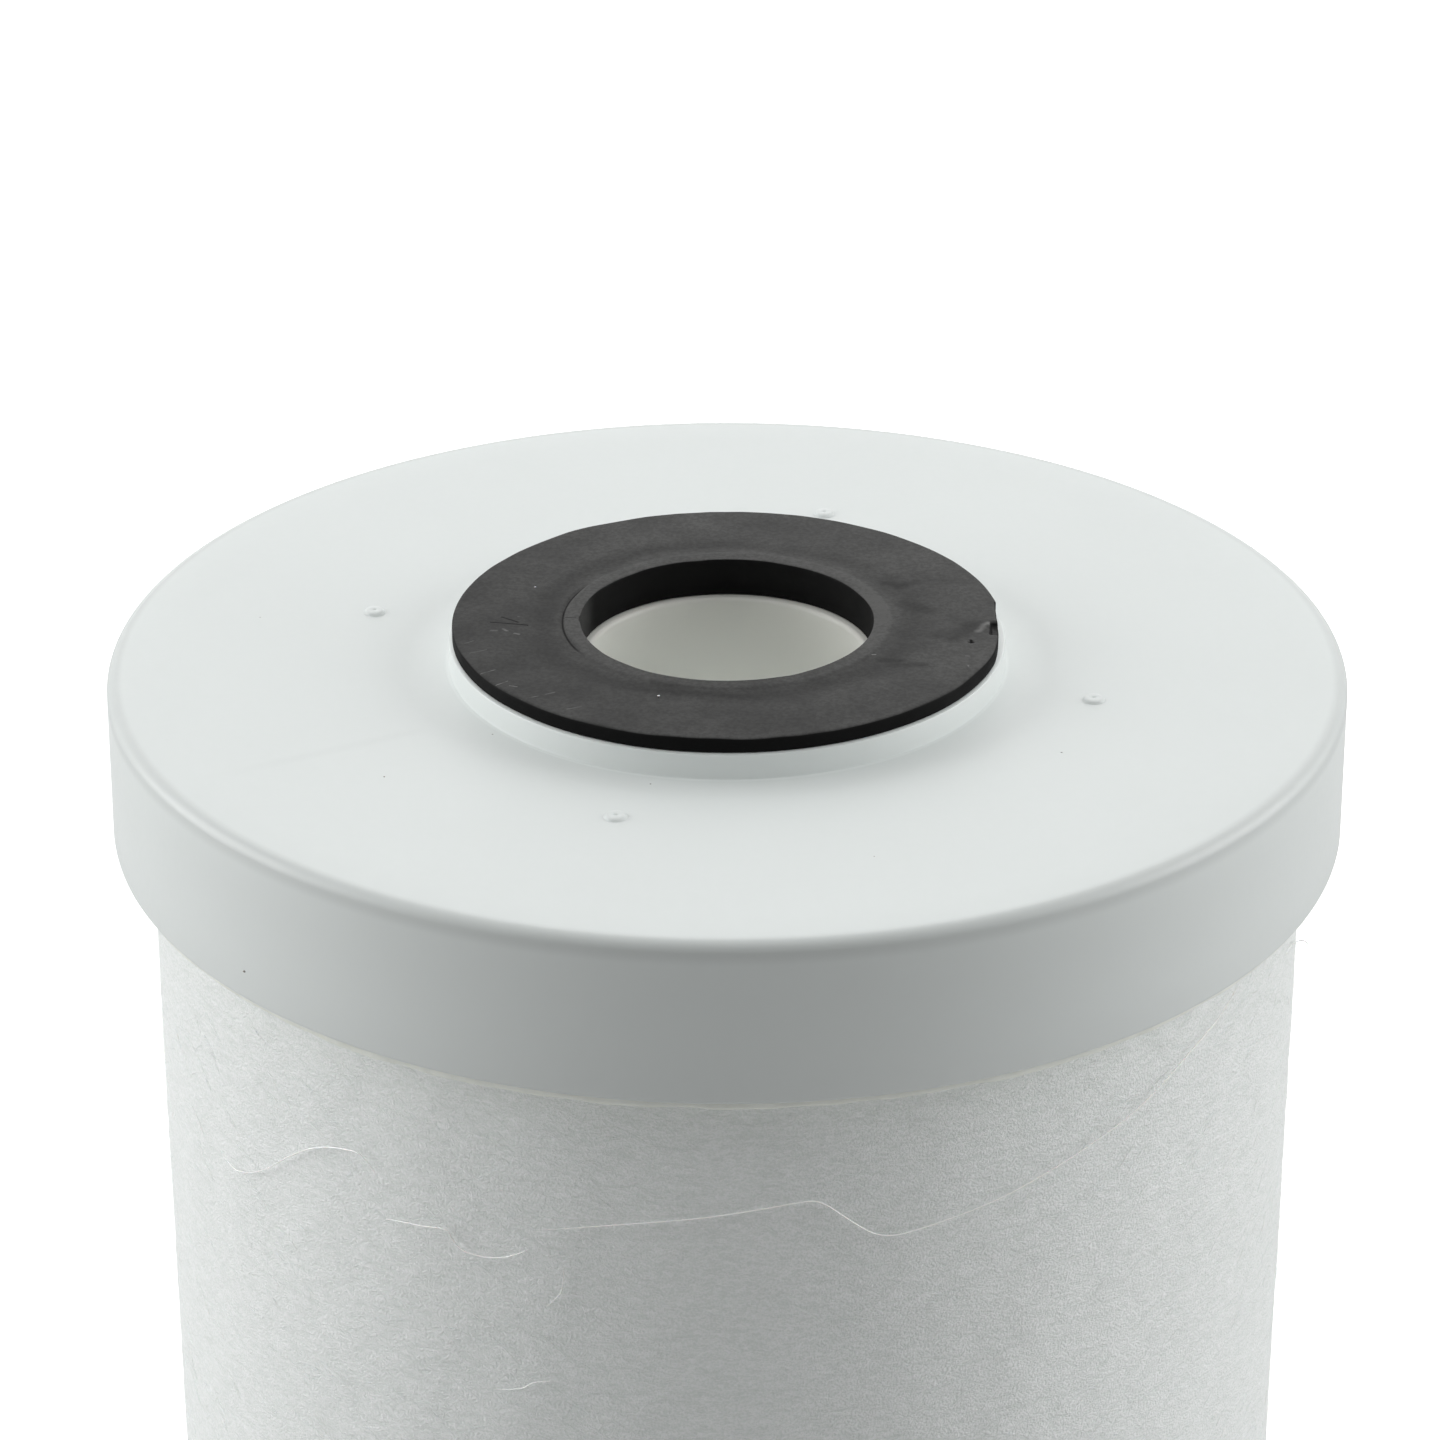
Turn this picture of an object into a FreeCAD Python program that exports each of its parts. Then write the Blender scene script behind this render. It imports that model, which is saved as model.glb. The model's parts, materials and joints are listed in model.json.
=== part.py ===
# Whole house filter cartridge, big 4.5 inch size, open at both ends.
# Millimetres, +Z up, origin on the axis at the lower gasket's face.
# Both ends are the same mouldings. Each end piece is drawn with its depth counted from
# the gasket's face, and the upper one is the same drawing turned over.
import FreeCAD, Part
import math
import os
import Sketcher

PARTS_FOLDER = "parts"
NEAR = 0.001

SIZES = [
    ("overall_length", 248.0, "gasket face to gasket face"),
    ("cap_radius", 57.15, "end cap at its rim"),
    ("skirt_draft", 0.15, "how far the skirt's lip stands out beyond the rim"),
    ("skirt_depth", 15.25, "rim of the cap to the skirt's lip"),
    ("skirt_wall", 1.8, "wall of the skirt at the rim"),
    ("plate_thickness", 2.2, "plate of the cap at the boss"),
    ("rim_rise", 0.6, "rim above the foot of the boss, as the face is slightly dished"),
    ("rim_round", 1.0, "round between face and skirt"),
    ("lip_round", 0.5, "round on the outside of the skirt's lip"),
    ("boss_margin", 0.3, "raised boss beyond the gasket that it carries"),
    ("boss_height", 2.4, "boss above its foot"),
    ("boss_edge", 0.25, "round on the boss's upper edge"),
    ("boss_wall", 2.0, "wall of the cored boss and of the gasket's seat"),
    ("boss_round", 0.2, "round at the boss's foot"),
    ("throat_step", 0.75, "ledge from the gasket's bore in to the collar's"),
    ("throat_round", 0.5, "round at the mouth of the throat"),
    ("collar_wall", 1.9, "wall of the collar that carries the core tube"),
    ("collar_reach", 12.0, "collar inside the core tube"),
    ("collar_lead", 0.5, "lead-in chamfer on the collar's end"),
    ("locating_wall", 1.5, "wall of the ring inside the porous shell"),
    ("locating_height", 5.0, "height of that ring above the plate"),
    ("gate_count", 4, "injection gates round the cap"),
    ("gate_circle", 34.7, "radius of the circle of gates"),
    ("gate_radius", 1.15, "stub left by a gate"),
    ("gate_height", 0.5, "stub above the face"),
    ("gate_round", 0.3, "round on the stub's edge"),
    ("gate_turn", 16.1, "turn of the first gate about the axis, in degrees"),
    ("gasket_radius", 25.4, "flange of the gasket"),
    ("gasket_flange", 1.55, "thickness of the flange"),
    ("gasket_bore", 13.5, "bore of the gasket"),
    ("gasket_round", 0.3, "round on the gasket's edges"),
    ("neck_wall", 1.3, "wall of the neck that plugs into the cap"),
    ("neck_length", 2.1, "neck below the flange"),
    ("neck_fit", 0.05, "gap between neck and seat"),
    ("groove_depth", 0.25, "groove round the gasket's inner lip"),
    ("groove_width", 0.5, "mouth of that groove"),
    ("tear_width", 4.5, "torn place along the upper gasket's rim"),
    ("tear_reach", 0.9, "how far the tear goes in from the rim"),
    ("tear_drop", 0.8, "how deep the tear goes into the flange"),
    ("bond_gap", 1.55, "gap between skirt and felt, filled with hot melt"),
    ("wrap_thickness", 3.0, "felt wrap"),
    ("lap_width", 14.0, "lengthwise lap where the felt's ends meet"),
    ("lap_rise", 0.5, "lap above the felt's surface"),
    ("shell_wall", 3.0, "wall of the porous shell"),
    ("core_wall", 2.0, "wall of the core tube"),
    ("core_fit", 0.15, "gap between collar and core tube"),
    ("window_rows", 9, "rows of windows along the core tube"),
    ("window_columns", 8, "windows round the core tube"),
    ("window_pitch", 22.0, "one row to the next"),
    ("window_height", 15.0, "window along the tube"),
    ("window_width", 7.5, "window across the tube"),
    ("sleeve_thickness", 2.5, "felt sleeve round the core tube"),
    ("pad_thickness", 6.0, "foam pad at each end of the bed"),
    ("layer_fit", 0.1, "gap between one layer of the body and the next"),
    ("bond_thickness", 2.0, "hot melt under the ends of shell and wrap"),
    ("bead_height", 1.5, "bead of hot melt below the skirt's lip"),
]

# Depths from the gasket's face, and radii, that follow from the sizes.
FACE = "(Sizes.gasket_flange + Sizes.boss_height)"
PLATE_INSIDE = "(" + FACE + " + Sizes.plate_thickness)"
RIM = "(" + FACE + " - Sizes.rim_rise)"
SKIRT_LIP = "(" + RIM + " + Sizes.skirt_depth)"
LIP_RADIUS = "(Sizes.cap_radius + Sizes.skirt_draft)"
SKIRT_INSIDE = "(Sizes.cap_radius - Sizes.skirt_wall)"
BOSS_RADIUS = "(Sizes.gasket_radius + Sizes.boss_margin)"
GATE_SHARE = "(Sizes.gate_circle - " + BOSS_RADIUS + ") / (Sizes.cap_radius - " + BOSS_RADIUS + ")"
GATE_FACE = "(" + FACE + " - Sizes.rim_rise * " + GATE_SHARE + ")"
GATE_END = "(" + GATE_FACE + " - Sizes.gate_height)"
THROAT_RADIUS = "(Sizes.gasket_bore - Sizes.throat_step)"
SEAT_RADIUS = "(Sizes.gasket_bore + Sizes.neck_wall + Sizes.neck_fit)"
SEAT_FLOOR = "(Sizes.gasket_flange + Sizes.neck_length + Sizes.neck_fit)"
SEAT_OUTSIDE = "(" + SEAT_RADIUS + " + Sizes.boss_wall)"
SEAT_END = "(" + SEAT_FLOOR + " + Sizes.boss_wall)"
TROUGH_RADIUS = "(" + BOSS_RADIUS + " - Sizes.boss_wall)"
TROUGH_FLOOR = "(Sizes.gasket_flange + Sizes.boss_wall)"
COLLAR_OUTSIDE = "(" + THROAT_RADIUS + " + Sizes.collar_wall)"
COLLAR_END = "(" + SEAT_END + " + Sizes.collar_reach)"
CORE_INSIDE = "(" + COLLAR_OUTSIDE + " + Sizes.core_fit)"
CORE_OUTSIDE = "(" + CORE_INSIDE + " + Sizes.core_wall)"
SLEEVE_INSIDE = "(" + CORE_OUTSIDE + " + Sizes.layer_fit)"
SLEEVE_OUTSIDE = "(" + SLEEVE_INSIDE + " + Sizes.sleeve_thickness)"
WRAP_OUTSIDE = "(" + SKIRT_INSIDE + " - Sizes.bond_gap)"
WRAP_INSIDE = "(" + WRAP_OUTSIDE + " - Sizes.wrap_thickness)"
SHELL_OUTSIDE = "(" + WRAP_INSIDE + " - Sizes.layer_fit)"
SHELL_INSIDE = "(" + SHELL_OUTSIDE + " - Sizes.shell_wall)"
LOCATING_OUTSIDE = "(" + SHELL_INSIDE + " - Sizes.layer_fit)"
LOCATING_INSIDE = "(" + LOCATING_OUTSIDE + " - Sizes.locating_wall)"
BODY_END = "(" + PLATE_INSIDE + " + Sizes.bond_thickness)"
PAD_END = "(" + PLATE_INSIDE + " + Sizes.pad_thickness)"
BEAD_END = "(" + SKIRT_LIP + " + Sizes.bead_height)"


def make_sheet(doc):
    """Puts the driving sizes into the spreadsheet, one alias a row."""
    sheet = doc.addObject("Spreadsheet::Sheet", "Sizes")
    for row, (alias, number, note) in enumerate(SIZES, 1):
        sheet.set("A%d" % row, alias)
        sheet.set("B%d" % row, str(number))
        sheet.set("C%d" % row, note)
        sheet.setAlias("B%d" % row, alias)
    doc.recompute()


def value(part, expression):
    """The number that an expression on the sheet gives now."""
    return float(part.evalExpression(expression))


def origin_feature(body, role):
    """A plane or an axis of the body's own origin."""
    return [item for item in body.Origin.OriginFeatures if item.Role == role][0]


def new_body(doc, name):
    body = doc.addObject("PartDesign::Body", name)
    body.Label = name
    return body


def new_sketch(body, name, plane):
    sketch = body.newObject("Sketcher::SketchObject", name)
    sketch.AttachmentSupport = [(origin_feature(body, plane), "")]
    sketch.MapMode = "FlatFace"
    return sketch


def bind(sketch, kind, where, expression):
    """Adds a driving constraint whose size is an expression on the sheet."""
    number = value(sketch, expression)
    index = sketch.addConstraint(Sketcher.Constraint(kind, *where, number))
    sketch.setExpression("Constraints[%d]" % index, expression)


def add_outline(sketch, corners):
    """A closed outline of straight lines; a height of None lies on the horizontal axis."""
    spots = []
    for across, up in corners:
        height = 0.0 if up is None else value(sketch, up)
        spots.append(FreeCAD.Vector(value(sketch, across), height, 0.0))
    first = sketch.GeometryCount
    count = len(spots)
    for index in range(count):
        line = Part.LineSegment(spots[index], spots[(index + 1) % count])
        sketch.addGeometry(line, False)
    for index in range(count):
        after = first + (index + 1) % count
        sketch.addConstraint(Sketcher.Constraint("Coincident", first + index, 2, after, 1))
    for index, (across, up) in enumerate(corners):
        bind(sketch, "DistanceX", (-1, 1, first + index, 1), across)
        if up is None:
            sketch.addConstraint(Sketcher.Constraint("PointOnObject", first + index, 1, -1))
        else:
            bind(sketch, "DistanceY", (-1, 1, first + index, 1), up)


def add_circle(sketch, radius, offset=None):
    """A circle about the origin, or about a point on the horizontal axis."""
    across = 0.0 if offset is None else value(sketch, offset)
    centre = FreeCAD.Vector(across, 0.0, 0.0)
    up = FreeCAD.Vector(0.0, 0.0, 1.0)
    index = sketch.addGeometry(Part.Circle(centre, up, value(sketch, radius)), False)
    bind(sketch, "Radius", (index,), radius)
    if offset is None:
        sketch.addConstraint(Sketcher.Constraint("Coincident", index, 3, -1, 1))
    else:
        sketch.addConstraint(Sketcher.Constraint("PointOnObject", index, 3, -1))
        bind(sketch, "DistanceX", (-1, 1, index, 3), offset)


def add_revolution(body, name, corners):
    """Turns a half section, given as radius and depth, about the axis."""
    sketch = new_sketch(body, name + "_section", "XZ_Plane")
    add_outline(sketch, corners)
    turned = body.newObject("PartDesign::Revolution", name + "_turned")
    turned.Profile = sketch
    turned.ReferenceAxis = (sketch, ["V_Axis"])
    turned.Angle = 360.0
    body.Document.recompute()


def rim_names(feature, radius, depth, aside):
    """Names of the circles of that radius, at that depth, with centres that far from the axis."""
    names = []
    for number, edge in enumerate(feature.Shape.Edges, 1):
        curve = edge.Curve
        if not isinstance(curve, Part.Circle):
            continue
        centre = math.hypot(curve.Center.x, curve.Center.y)
        off = [curve.Radius - radius, curve.Center.z - depth, centre - aside]
        if max(abs(gap) for gap in off) < NEAR:
            names.append("Edge%d" % number)
    return names


def soften(body, name, kind, size, rims, aside="0"):
    """Rounds or chamfers the rims, each given as radius and depth expressions."""
    base = body.Tip
    names = []
    for radius, depth in rims:
        found = rim_names(base, value(base, radius), value(base, depth), value(base, aside))
        if not found:
            raise RuntimeError("no rim for " + name)
        names += found
    feature = body.newObject("PartDesign::" + kind, name)
    feature.Base = (base, names)
    feature.setExpression("Radius" if kind == "Fillet" else "Size", size)
    body.Document.recompute()


def add_polar(body, name, feature, count):
    """Repeats one feature evenly round the axis."""
    pattern = body.newObject("PartDesign::PolarPattern", name)
    pattern.Originals = [feature]
    pattern.Axis = (origin_feature(body, "Z_Axis"), [""])
    pattern.Angle = 360.0
    pattern.setExpression("Occurrences", count)
    body.Tip = pattern
    body.Document.recompute()


def place(body, upper, turn="0"):
    """Leaves an end piece at the bottom, or turns it over onto the top."""
    spin = FreeCAD.Rotation(FreeCAD.Vector(0, 0, 1), value(body, turn))
    if upper:
        over = FreeCAD.Rotation(FreeCAD.Vector(1, 0, 0), 180.0)
        body.Placement = FreeCAD.Placement(FreeCAD.Vector(), over.multiply(spin))
        body.setExpression("Placement.Base.z", "Sizes.overall_length")
    else:
        body.Placement = FreeCAD.Placement(FreeCAD.Vector(), spin)
    body.Document.recompute()


def make_end_cap(doc, name, upper):
    """Moulded cap: plate and skirt, cored boss with the gasket's seat, collar and ring."""
    body = new_body(doc, name)
    add_revolution(body, name, [
        (THROAT_RADIUS, SEAT_FLOOR),
        (SEAT_RADIUS, SEAT_FLOOR),
        (SEAT_RADIUS, "Sizes.gasket_flange"),
        (BOSS_RADIUS, "Sizes.gasket_flange"),
        (BOSS_RADIUS, FACE),
        ("Sizes.cap_radius", RIM),
        (LIP_RADIUS, SKIRT_LIP),
        (SKIRT_INSIDE, SKIRT_LIP),
        (SKIRT_INSIDE, PLATE_INSIDE),
        (LOCATING_OUTSIDE, PLATE_INSIDE),
        (LOCATING_OUTSIDE, PLATE_INSIDE + " + Sizes.locating_height"),
        (LOCATING_INSIDE, PLATE_INSIDE + " + Sizes.locating_height"),
        (LOCATING_INSIDE, PLATE_INSIDE),
        (TROUGH_RADIUS, PLATE_INSIDE),
        (TROUGH_RADIUS, TROUGH_FLOOR),
        (SEAT_OUTSIDE, TROUGH_FLOOR),
        (SEAT_OUTSIDE, SEAT_END),
        (COLLAR_OUTSIDE, SEAT_END),
        (COLLAR_OUTSIDE, COLLAR_END),
        (THROAT_RADIUS, COLLAR_END),
    ])
    soften(body, name + "_rim", "Fillet", "Sizes.rim_round", [("Sizes.cap_radius", RIM)])
    soften(body, name + "_lip", "Fillet", "Sizes.lip_round", [(LIP_RADIUS, SKIRT_LIP)])
    soften(body, name + "_foot", "Fillet", "Sizes.boss_round", [(BOSS_RADIUS, FACE)])
    soften(body, name + "_edge", "Fillet", "Sizes.boss_edge",
           [(BOSS_RADIUS, "Sizes.gasket_flange")])
    soften(body, name + "_mouth", "Fillet", "Sizes.throat_round",
           [(THROAT_RADIUS, SEAT_FLOOR)])
    soften(body, name + "_lead", "Chamfer", "Sizes.collar_lead",
           [(COLLAR_OUTSIDE, COLLAR_END)])
    gate = new_sketch(body, name + "_gate", "XY_Plane")
    add_circle(gate, "Sizes.gate_radius", "Sizes.gate_circle")
    gate.setExpression("AttachmentOffset.Base.z", FACE)
    before = body.Tip.Shape.Volume
    stub = body.newObject("PartDesign::Pad", name + "_stub")
    stub.Profile = gate
    stub.Reversed = True
    stub.setExpression("Length", FACE + " - " + GATE_END)
    doc.recompute()
    if stub.Shape.Volume < before + NEAR:
        raise RuntimeError("the gate's stub adds nothing to " + name)
    add_polar(body, name + "_gates", stub, "Sizes.gate_count")
    soften(body, name + "_stubs", "Fillet", "min(Sizes.gate_round; Sizes.gate_height * 0.9)",
           [("Sizes.gate_radius", GATE_END)], "Sizes.gate_circle")
    place(body, upper, "Sizes.gate_turn")
    return body


def make_gasket(doc, name, upper):
    """Rubber washer with a neck that plugs into the cap's seat, and a grooved inner lip."""
    body = new_body(doc, name)
    neck_radius = "(Sizes.gasket_bore + Sizes.neck_wall)"
    neck_end = "(Sizes.gasket_flange + Sizes.neck_length)"
    add_revolution(body, name, [
        ("Sizes.gasket_bore", None),
        (neck_radius + " - Sizes.groove_width / 2", None),
        (neck_radius, "Sizes.groove_depth"),
        (neck_radius + " + Sizes.groove_width / 2", None),
        ("Sizes.gasket_radius", None),
        ("Sizes.gasket_radius", "Sizes.gasket_flange"),
        (neck_radius, "Sizes.gasket_flange"),
        (neck_radius, neck_end),
        ("Sizes.gasket_bore", neck_end),
    ])
    soften(body, name + "_edges", "Fillet", "Sizes.gasket_round", [
        ("Sizes.gasket_bore", "0"),
        ("Sizes.gasket_radius", "0"),
        ("Sizes.gasket_radius", "Sizes.gasket_flange"),
    ])
    if upper:
        add_tear(body, name)
    place(body, upper)
    return body


def add_tear(body, name):
    """The bite torn out of the rim, narrower inwards, from the gasket's face part way down."""
    sketch = new_sketch(body, name + "_tear", "XY_Plane")
    inner = "Sizes.gasket_radius - Sizes.tear_reach"
    outer = "Sizes.gasket_radius + Sizes.tear_reach"
    across = [value(sketch, inner), value(sketch, outer)]
    half = [value(sketch, "Sizes.tear_width / 4"), value(sketch, "Sizes.tear_width / 2")]
    spots = [
        FreeCAD.Vector(across[0], -half[0], 0),
        FreeCAD.Vector(across[1], -half[1], 0),
        FreeCAD.Vector(across[1], half[1], 0),
        FreeCAD.Vector(across[0], half[0], 0),
    ]
    for index in range(4):
        sketch.addGeometry(Part.LineSegment(spots[index], spots[(index + 1) % 4]))
    for index in range(4):
        after = (index + 1) % 4
        sketch.addConstraint(Sketcher.Constraint("Coincident", index, 2, after, 1))
    sketch.addConstraint(Sketcher.Constraint("Symmetric", 1, 1, 1, 2, -1))
    sketch.addConstraint(Sketcher.Constraint("Symmetric", 3, 1, 3, 2, -1))
    bind(sketch, "DistanceX", (-1, 1, 3, 2), inner)
    bind(sketch, "DistanceX", (-1, 1, 1, 1), outer)
    bind(sketch, "DistanceY", (1, 1, 1, 2), "Sizes.tear_width")
    bind(sketch, "DistanceY", (3, 2, 3, 1), "Sizes.tear_width / 2")
    before = body.Tip.Shape.Volume
    tear = body.newObject("PartDesign::Pocket", name + "_torn")
    tear.Profile = sketch
    tear.Reversed = True
    tear.setExpression("Length", "Sizes.tear_drop")
    body.Document.recompute()
    if tear.Shape.Volume > before - NEAR:
        raise RuntimeError("the tear cuts nothing in " + name)


def add_lap_outline(sketch, rise):
    """The lap's cross-section: a strip on the back of the felt, rounded on its outside."""
    half = value(sketch, "Sizes.lap_width / 2")
    radius = value(sketch, WRAP_OUTSIDE + " + " + rise)
    inner = value(sketch, WRAP_OUTSIDE + " - Sizes.wrap_thickness / 2")
    outer = math.sqrt(radius * radius - half * half)
    start = math.atan2(outer, half)
    centre = FreeCAD.Vector()
    up = FreeCAD.Vector(0, 0, 1)
    sketch.addGeometry(Part.ArcOfCircle(Part.Circle(centre, up, radius), start, math.pi - start))
    corners = [(-half, outer), (-half, inner), (half, inner), (half, outer)]
    spots = [FreeCAD.Vector(across, along, 0) for across, along in corners]
    for index in range(3):
        sketch.addGeometry(Part.LineSegment(spots[index], spots[index + 1]))
    for first, end, second, begin in [(0, 2, 1, 1), (1, 2, 2, 1), (2, 2, 3, 1), (3, 2, 0, 1)]:
        sketch.addConstraint(Sketcher.Constraint("Coincident", first, end, second, begin))
    sketch.addConstraint(Sketcher.Constraint("Coincident", 0, 3, -1, 1))
    sketch.addConstraint(Sketcher.Constraint("Vertical", 1))
    sketch.addConstraint(Sketcher.Constraint("Vertical", 3))
    sketch.addConstraint(Sketcher.Constraint("Symmetric", 2, 1, 2, 2, -2))
    bind(sketch, "DistanceX", (2, 1, 2, 2), "Sizes.lap_width")
    bind(sketch, "DistanceY", (-1, 1, 2, 1), WRAP_OUTSIDE + " - Sizes.wrap_thickness / 2")
    bind(sketch, "Radius", (0,), WRAP_OUTSIDE + " + " + rise)


def make_tube(doc, name, inside, outside, start, end):
    """A plain round tube between two heights."""
    body = new_body(doc, name)
    sketch = new_sketch(body, name + "_ring", "XY_Plane")
    add_circle(sketch, outside)
    add_circle(sketch, inside)
    sketch.setExpression("AttachmentOffset.Base.z", start)
    pad = body.newObject("PartDesign::Pad", name + "_length")
    pad.Profile = sketch
    pad.setExpression("Length", end + " - " + start)
    doc.recompute()
    return body


def from_top(depth):
    """Height of something that lies that deep below the upper gasket's face."""
    return "(Sizes.overall_length - " + depth + ")"


def make_outer_wrap(doc):
    """Felt sleeve, one sheet rolled round the shell, with its lap along the back."""
    name = "outer_wrap"
    body = make_tube(doc, name, WRAP_INSIDE, WRAP_OUTSIDE, BODY_END, from_top(BODY_END))
    sketch = new_sketch(body, name + "_lap", "XY_Plane")
    add_lap_outline(sketch, "Sizes.lap_rise")
    sketch.setExpression("AttachmentOffset.Base.z", BODY_END)
    lap = body.newObject("PartDesign::Pad", name + "_lapped")
    lap.Profile = sketch
    lap.setExpression("Length", from_top(BODY_END) + " - " + BODY_END)
    doc.recompute()
    return body


def make_outer_bond(doc, name, upper):
    """Hot melt under the ends of shell and wrap, up the gap beside the wrap, with its bead."""
    body = new_body(doc, name)
    add_revolution(body, name, [
        (SHELL_INSIDE, PLATE_INSIDE),
        (SKIRT_INSIDE, PLATE_INSIDE),
        (SKIRT_INSIDE, BEAD_END),
        (WRAP_OUTSIDE, BEAD_END),
        (WRAP_OUTSIDE, BODY_END),
        (SHELL_INSIDE, BODY_END),
    ])
    soften(body, name + "_bead", "Fillet", "Sizes.bead_height / 2", [(SKIRT_INSIDE, BEAD_END)])
    sketch = new_sketch(body, name + "_lap", "XY_Plane")
    add_lap_outline(sketch, "Sizes.lap_rise")
    sketch.setExpression("AttachmentOffset.Base.z", BODY_END)
    before = body.Tip.Shape.Volume
    relief = body.newObject("PartDesign::Pocket", name + "_relief")
    relief.Profile = sketch
    relief.Reversed = True
    relief.Type = "ThroughAll"
    doc.recompute()
    if relief.Shape.Volume > before - NEAR:
        raise RuntimeError("the lap's relief cuts nothing in " + name)
    place(body, upper, "180" if upper else "0")
    return body


def make_inner_bond(doc, name, upper):
    """Hot melt in the trough under the boss, flush with the end of the seat's wall."""
    body = make_tube(doc, name, SEAT_OUTSIDE, TROUGH_RADIUS, TROUGH_FLOOR, SEAT_END)
    place(body, upper)
    return body


def make_bed_pad(doc, name, upper):
    """Foam ring between the cap's plate and the bed."""
    inside = SLEEVE_OUTSIDE + " + Sizes.layer_fit"
    outside = LOCATING_INSIDE + " - Sizes.layer_fit"
    body = make_tube(doc, name, inside, outside, PLATE_INSIDE, PAD_END)
    place(body, upper)
    return body


def make_core_tube(doc):
    """Moulded tube that slides over both collars, with rows of windows for the water."""
    name = "core_tube"
    body = make_tube(doc, name, CORE_INSIDE, CORE_OUTSIDE, SEAT_END, from_top(SEAT_END))
    sketch = new_sketch(body, name + "_windows", "XZ_Plane")
    rows = int(value(sketch, "Sizes.window_rows"))
    stack = "(Sizes.window_pitch * (Sizes.window_rows - 1) + Sizes.window_height)"
    half = value(sketch, "Sizes.window_width / 2")
    for row in range(rows):
        low = "(Sizes.overall_length - %s) / 2 + %d * Sizes.window_pitch" % (stack, row)
        add_window(sketch, half, low)
    before = body.Tip.Shape.Volume
    column = body.newObject("PartDesign::Pocket", name + "_column")
    column.Profile = sketch
    column.Type = "ThroughAll"
    doc.recompute()
    if column.Shape.Volume > before - NEAR:
        raise RuntimeError("the windows cut nothing in " + name)
    add_polar(body, name + "_columns", column, "Sizes.window_columns")
    return body


def add_window(sketch, half, low):
    """One window: a rectangle centred on the vertical axis, from the height given."""
    bottom = value(sketch, low)
    top = bottom + value(sketch, "Sizes.window_height")
    corners = [(-half, bottom), (half, bottom), (half, top), (-half, top)]
    spots = [FreeCAD.Vector(across, up, 0) for across, up in corners]
    first = sketch.GeometryCount
    for index in range(4):
        sketch.addGeometry(Part.LineSegment(spots[index], spots[(index + 1) % 4]))
    for index in range(4):
        after = first + (index + 1) % 4
        sketch.addConstraint(Sketcher.Constraint("Coincident", first + index, 2, after, 1))
    sketch.addConstraint(Sketcher.Constraint("Symmetric", first, 1, first, 2, -2))
    sketch.addConstraint(Sketcher.Constraint("Vertical", first + 1))
    sketch.addConstraint(Sketcher.Constraint("Vertical", first + 3))
    sketch.addConstraint(Sketcher.Constraint("Horizontal", first + 2))
    bind(sketch, "DistanceX", (first, 1, first, 2), "Sizes.window_width")
    bind(sketch, "DistanceY", (first + 1, 1, first + 1, 2), "Sizes.window_height")
    bind(sketch, "DistanceY", (-1, 1, first, 1), low)


def make_parts(doc):
    """Every piece of the cartridge, from the outside in."""
    return [
        make_end_cap(doc, "top_end_cap", True),
        make_end_cap(doc, "bottom_end_cap", False),
        make_gasket(doc, "top_gasket", True),
        make_gasket(doc, "bottom_gasket", False),
        make_outer_wrap(doc),
        make_tube(doc, "porous_shell", SHELL_INSIDE, SHELL_OUTSIDE, BODY_END, from_top(BODY_END)),
        make_tube(doc, "carbon_bed", SLEEVE_OUTSIDE + " + Sizes.layer_fit",
                  SHELL_INSIDE + " - Sizes.layer_fit", PAD_END, from_top(PAD_END)),
        make_tube(doc, "inner_felt_sleeve", SLEEVE_INSIDE, SLEEVE_OUTSIDE,
                  SEAT_END, from_top(SEAT_END)),
        make_core_tube(doc),
        make_outer_bond(doc, "top_outer_bond", True),
        make_outer_bond(doc, "bottom_outer_bond", False),
        make_inner_bond(doc, "top_inner_bond", True),
        make_inner_bond(doc, "bottom_inner_bond", False),
        make_bed_pad(doc, "top_bed_pad", True),
        make_bed_pad(doc, "bottom_bed_pad", False),
    ]


def check(doc, parts):
    """Stops before anything is written if an object has failed or a shape is bad."""
    for item in doc.Objects:
        if "Invalid" in item.State or "Error" in item.State:
            raise RuntimeError("failed: " + item.Label)
    for part in parts:
        if part.Shape.isNull() or not part.Shape.isValid():
            raise RuntimeError("bad shape: " + part.Label)


def main():
    doc = FreeCAD.newDocument("filter_cartridge")
    make_sheet(doc)
    parts = make_parts(doc)
    doc.recompute()
    check(doc, parts)
    os.makedirs(PARTS_FOLDER, exist_ok=True)
    for part in parts:
        part.Shape.exportStep(os.path.join(PARTS_FOLDER, part.Label + ".step"))
        box = part.Shape.BoundBox
        print("%-18s solids %d volume %9.1f z %.2f to %.2f" % (
            part.Label, len(part.Shape.Solids), part.Shape.Volume, box.ZMin, box.ZMax))


main()
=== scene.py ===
# Looks of a whole house filter cartridge: moulded end caps, rubber gaskets and a felt-wrapped body.
# Metres, +Z up, with the origin on the axis at the lower gasket's face.
import json
import math

import bmesh
import bpy
import numpy as np
from bpy.props import FloatProperty, FloatVectorProperty, IntProperty, PointerProperty
from mathutils import Matrix, Vector


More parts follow.
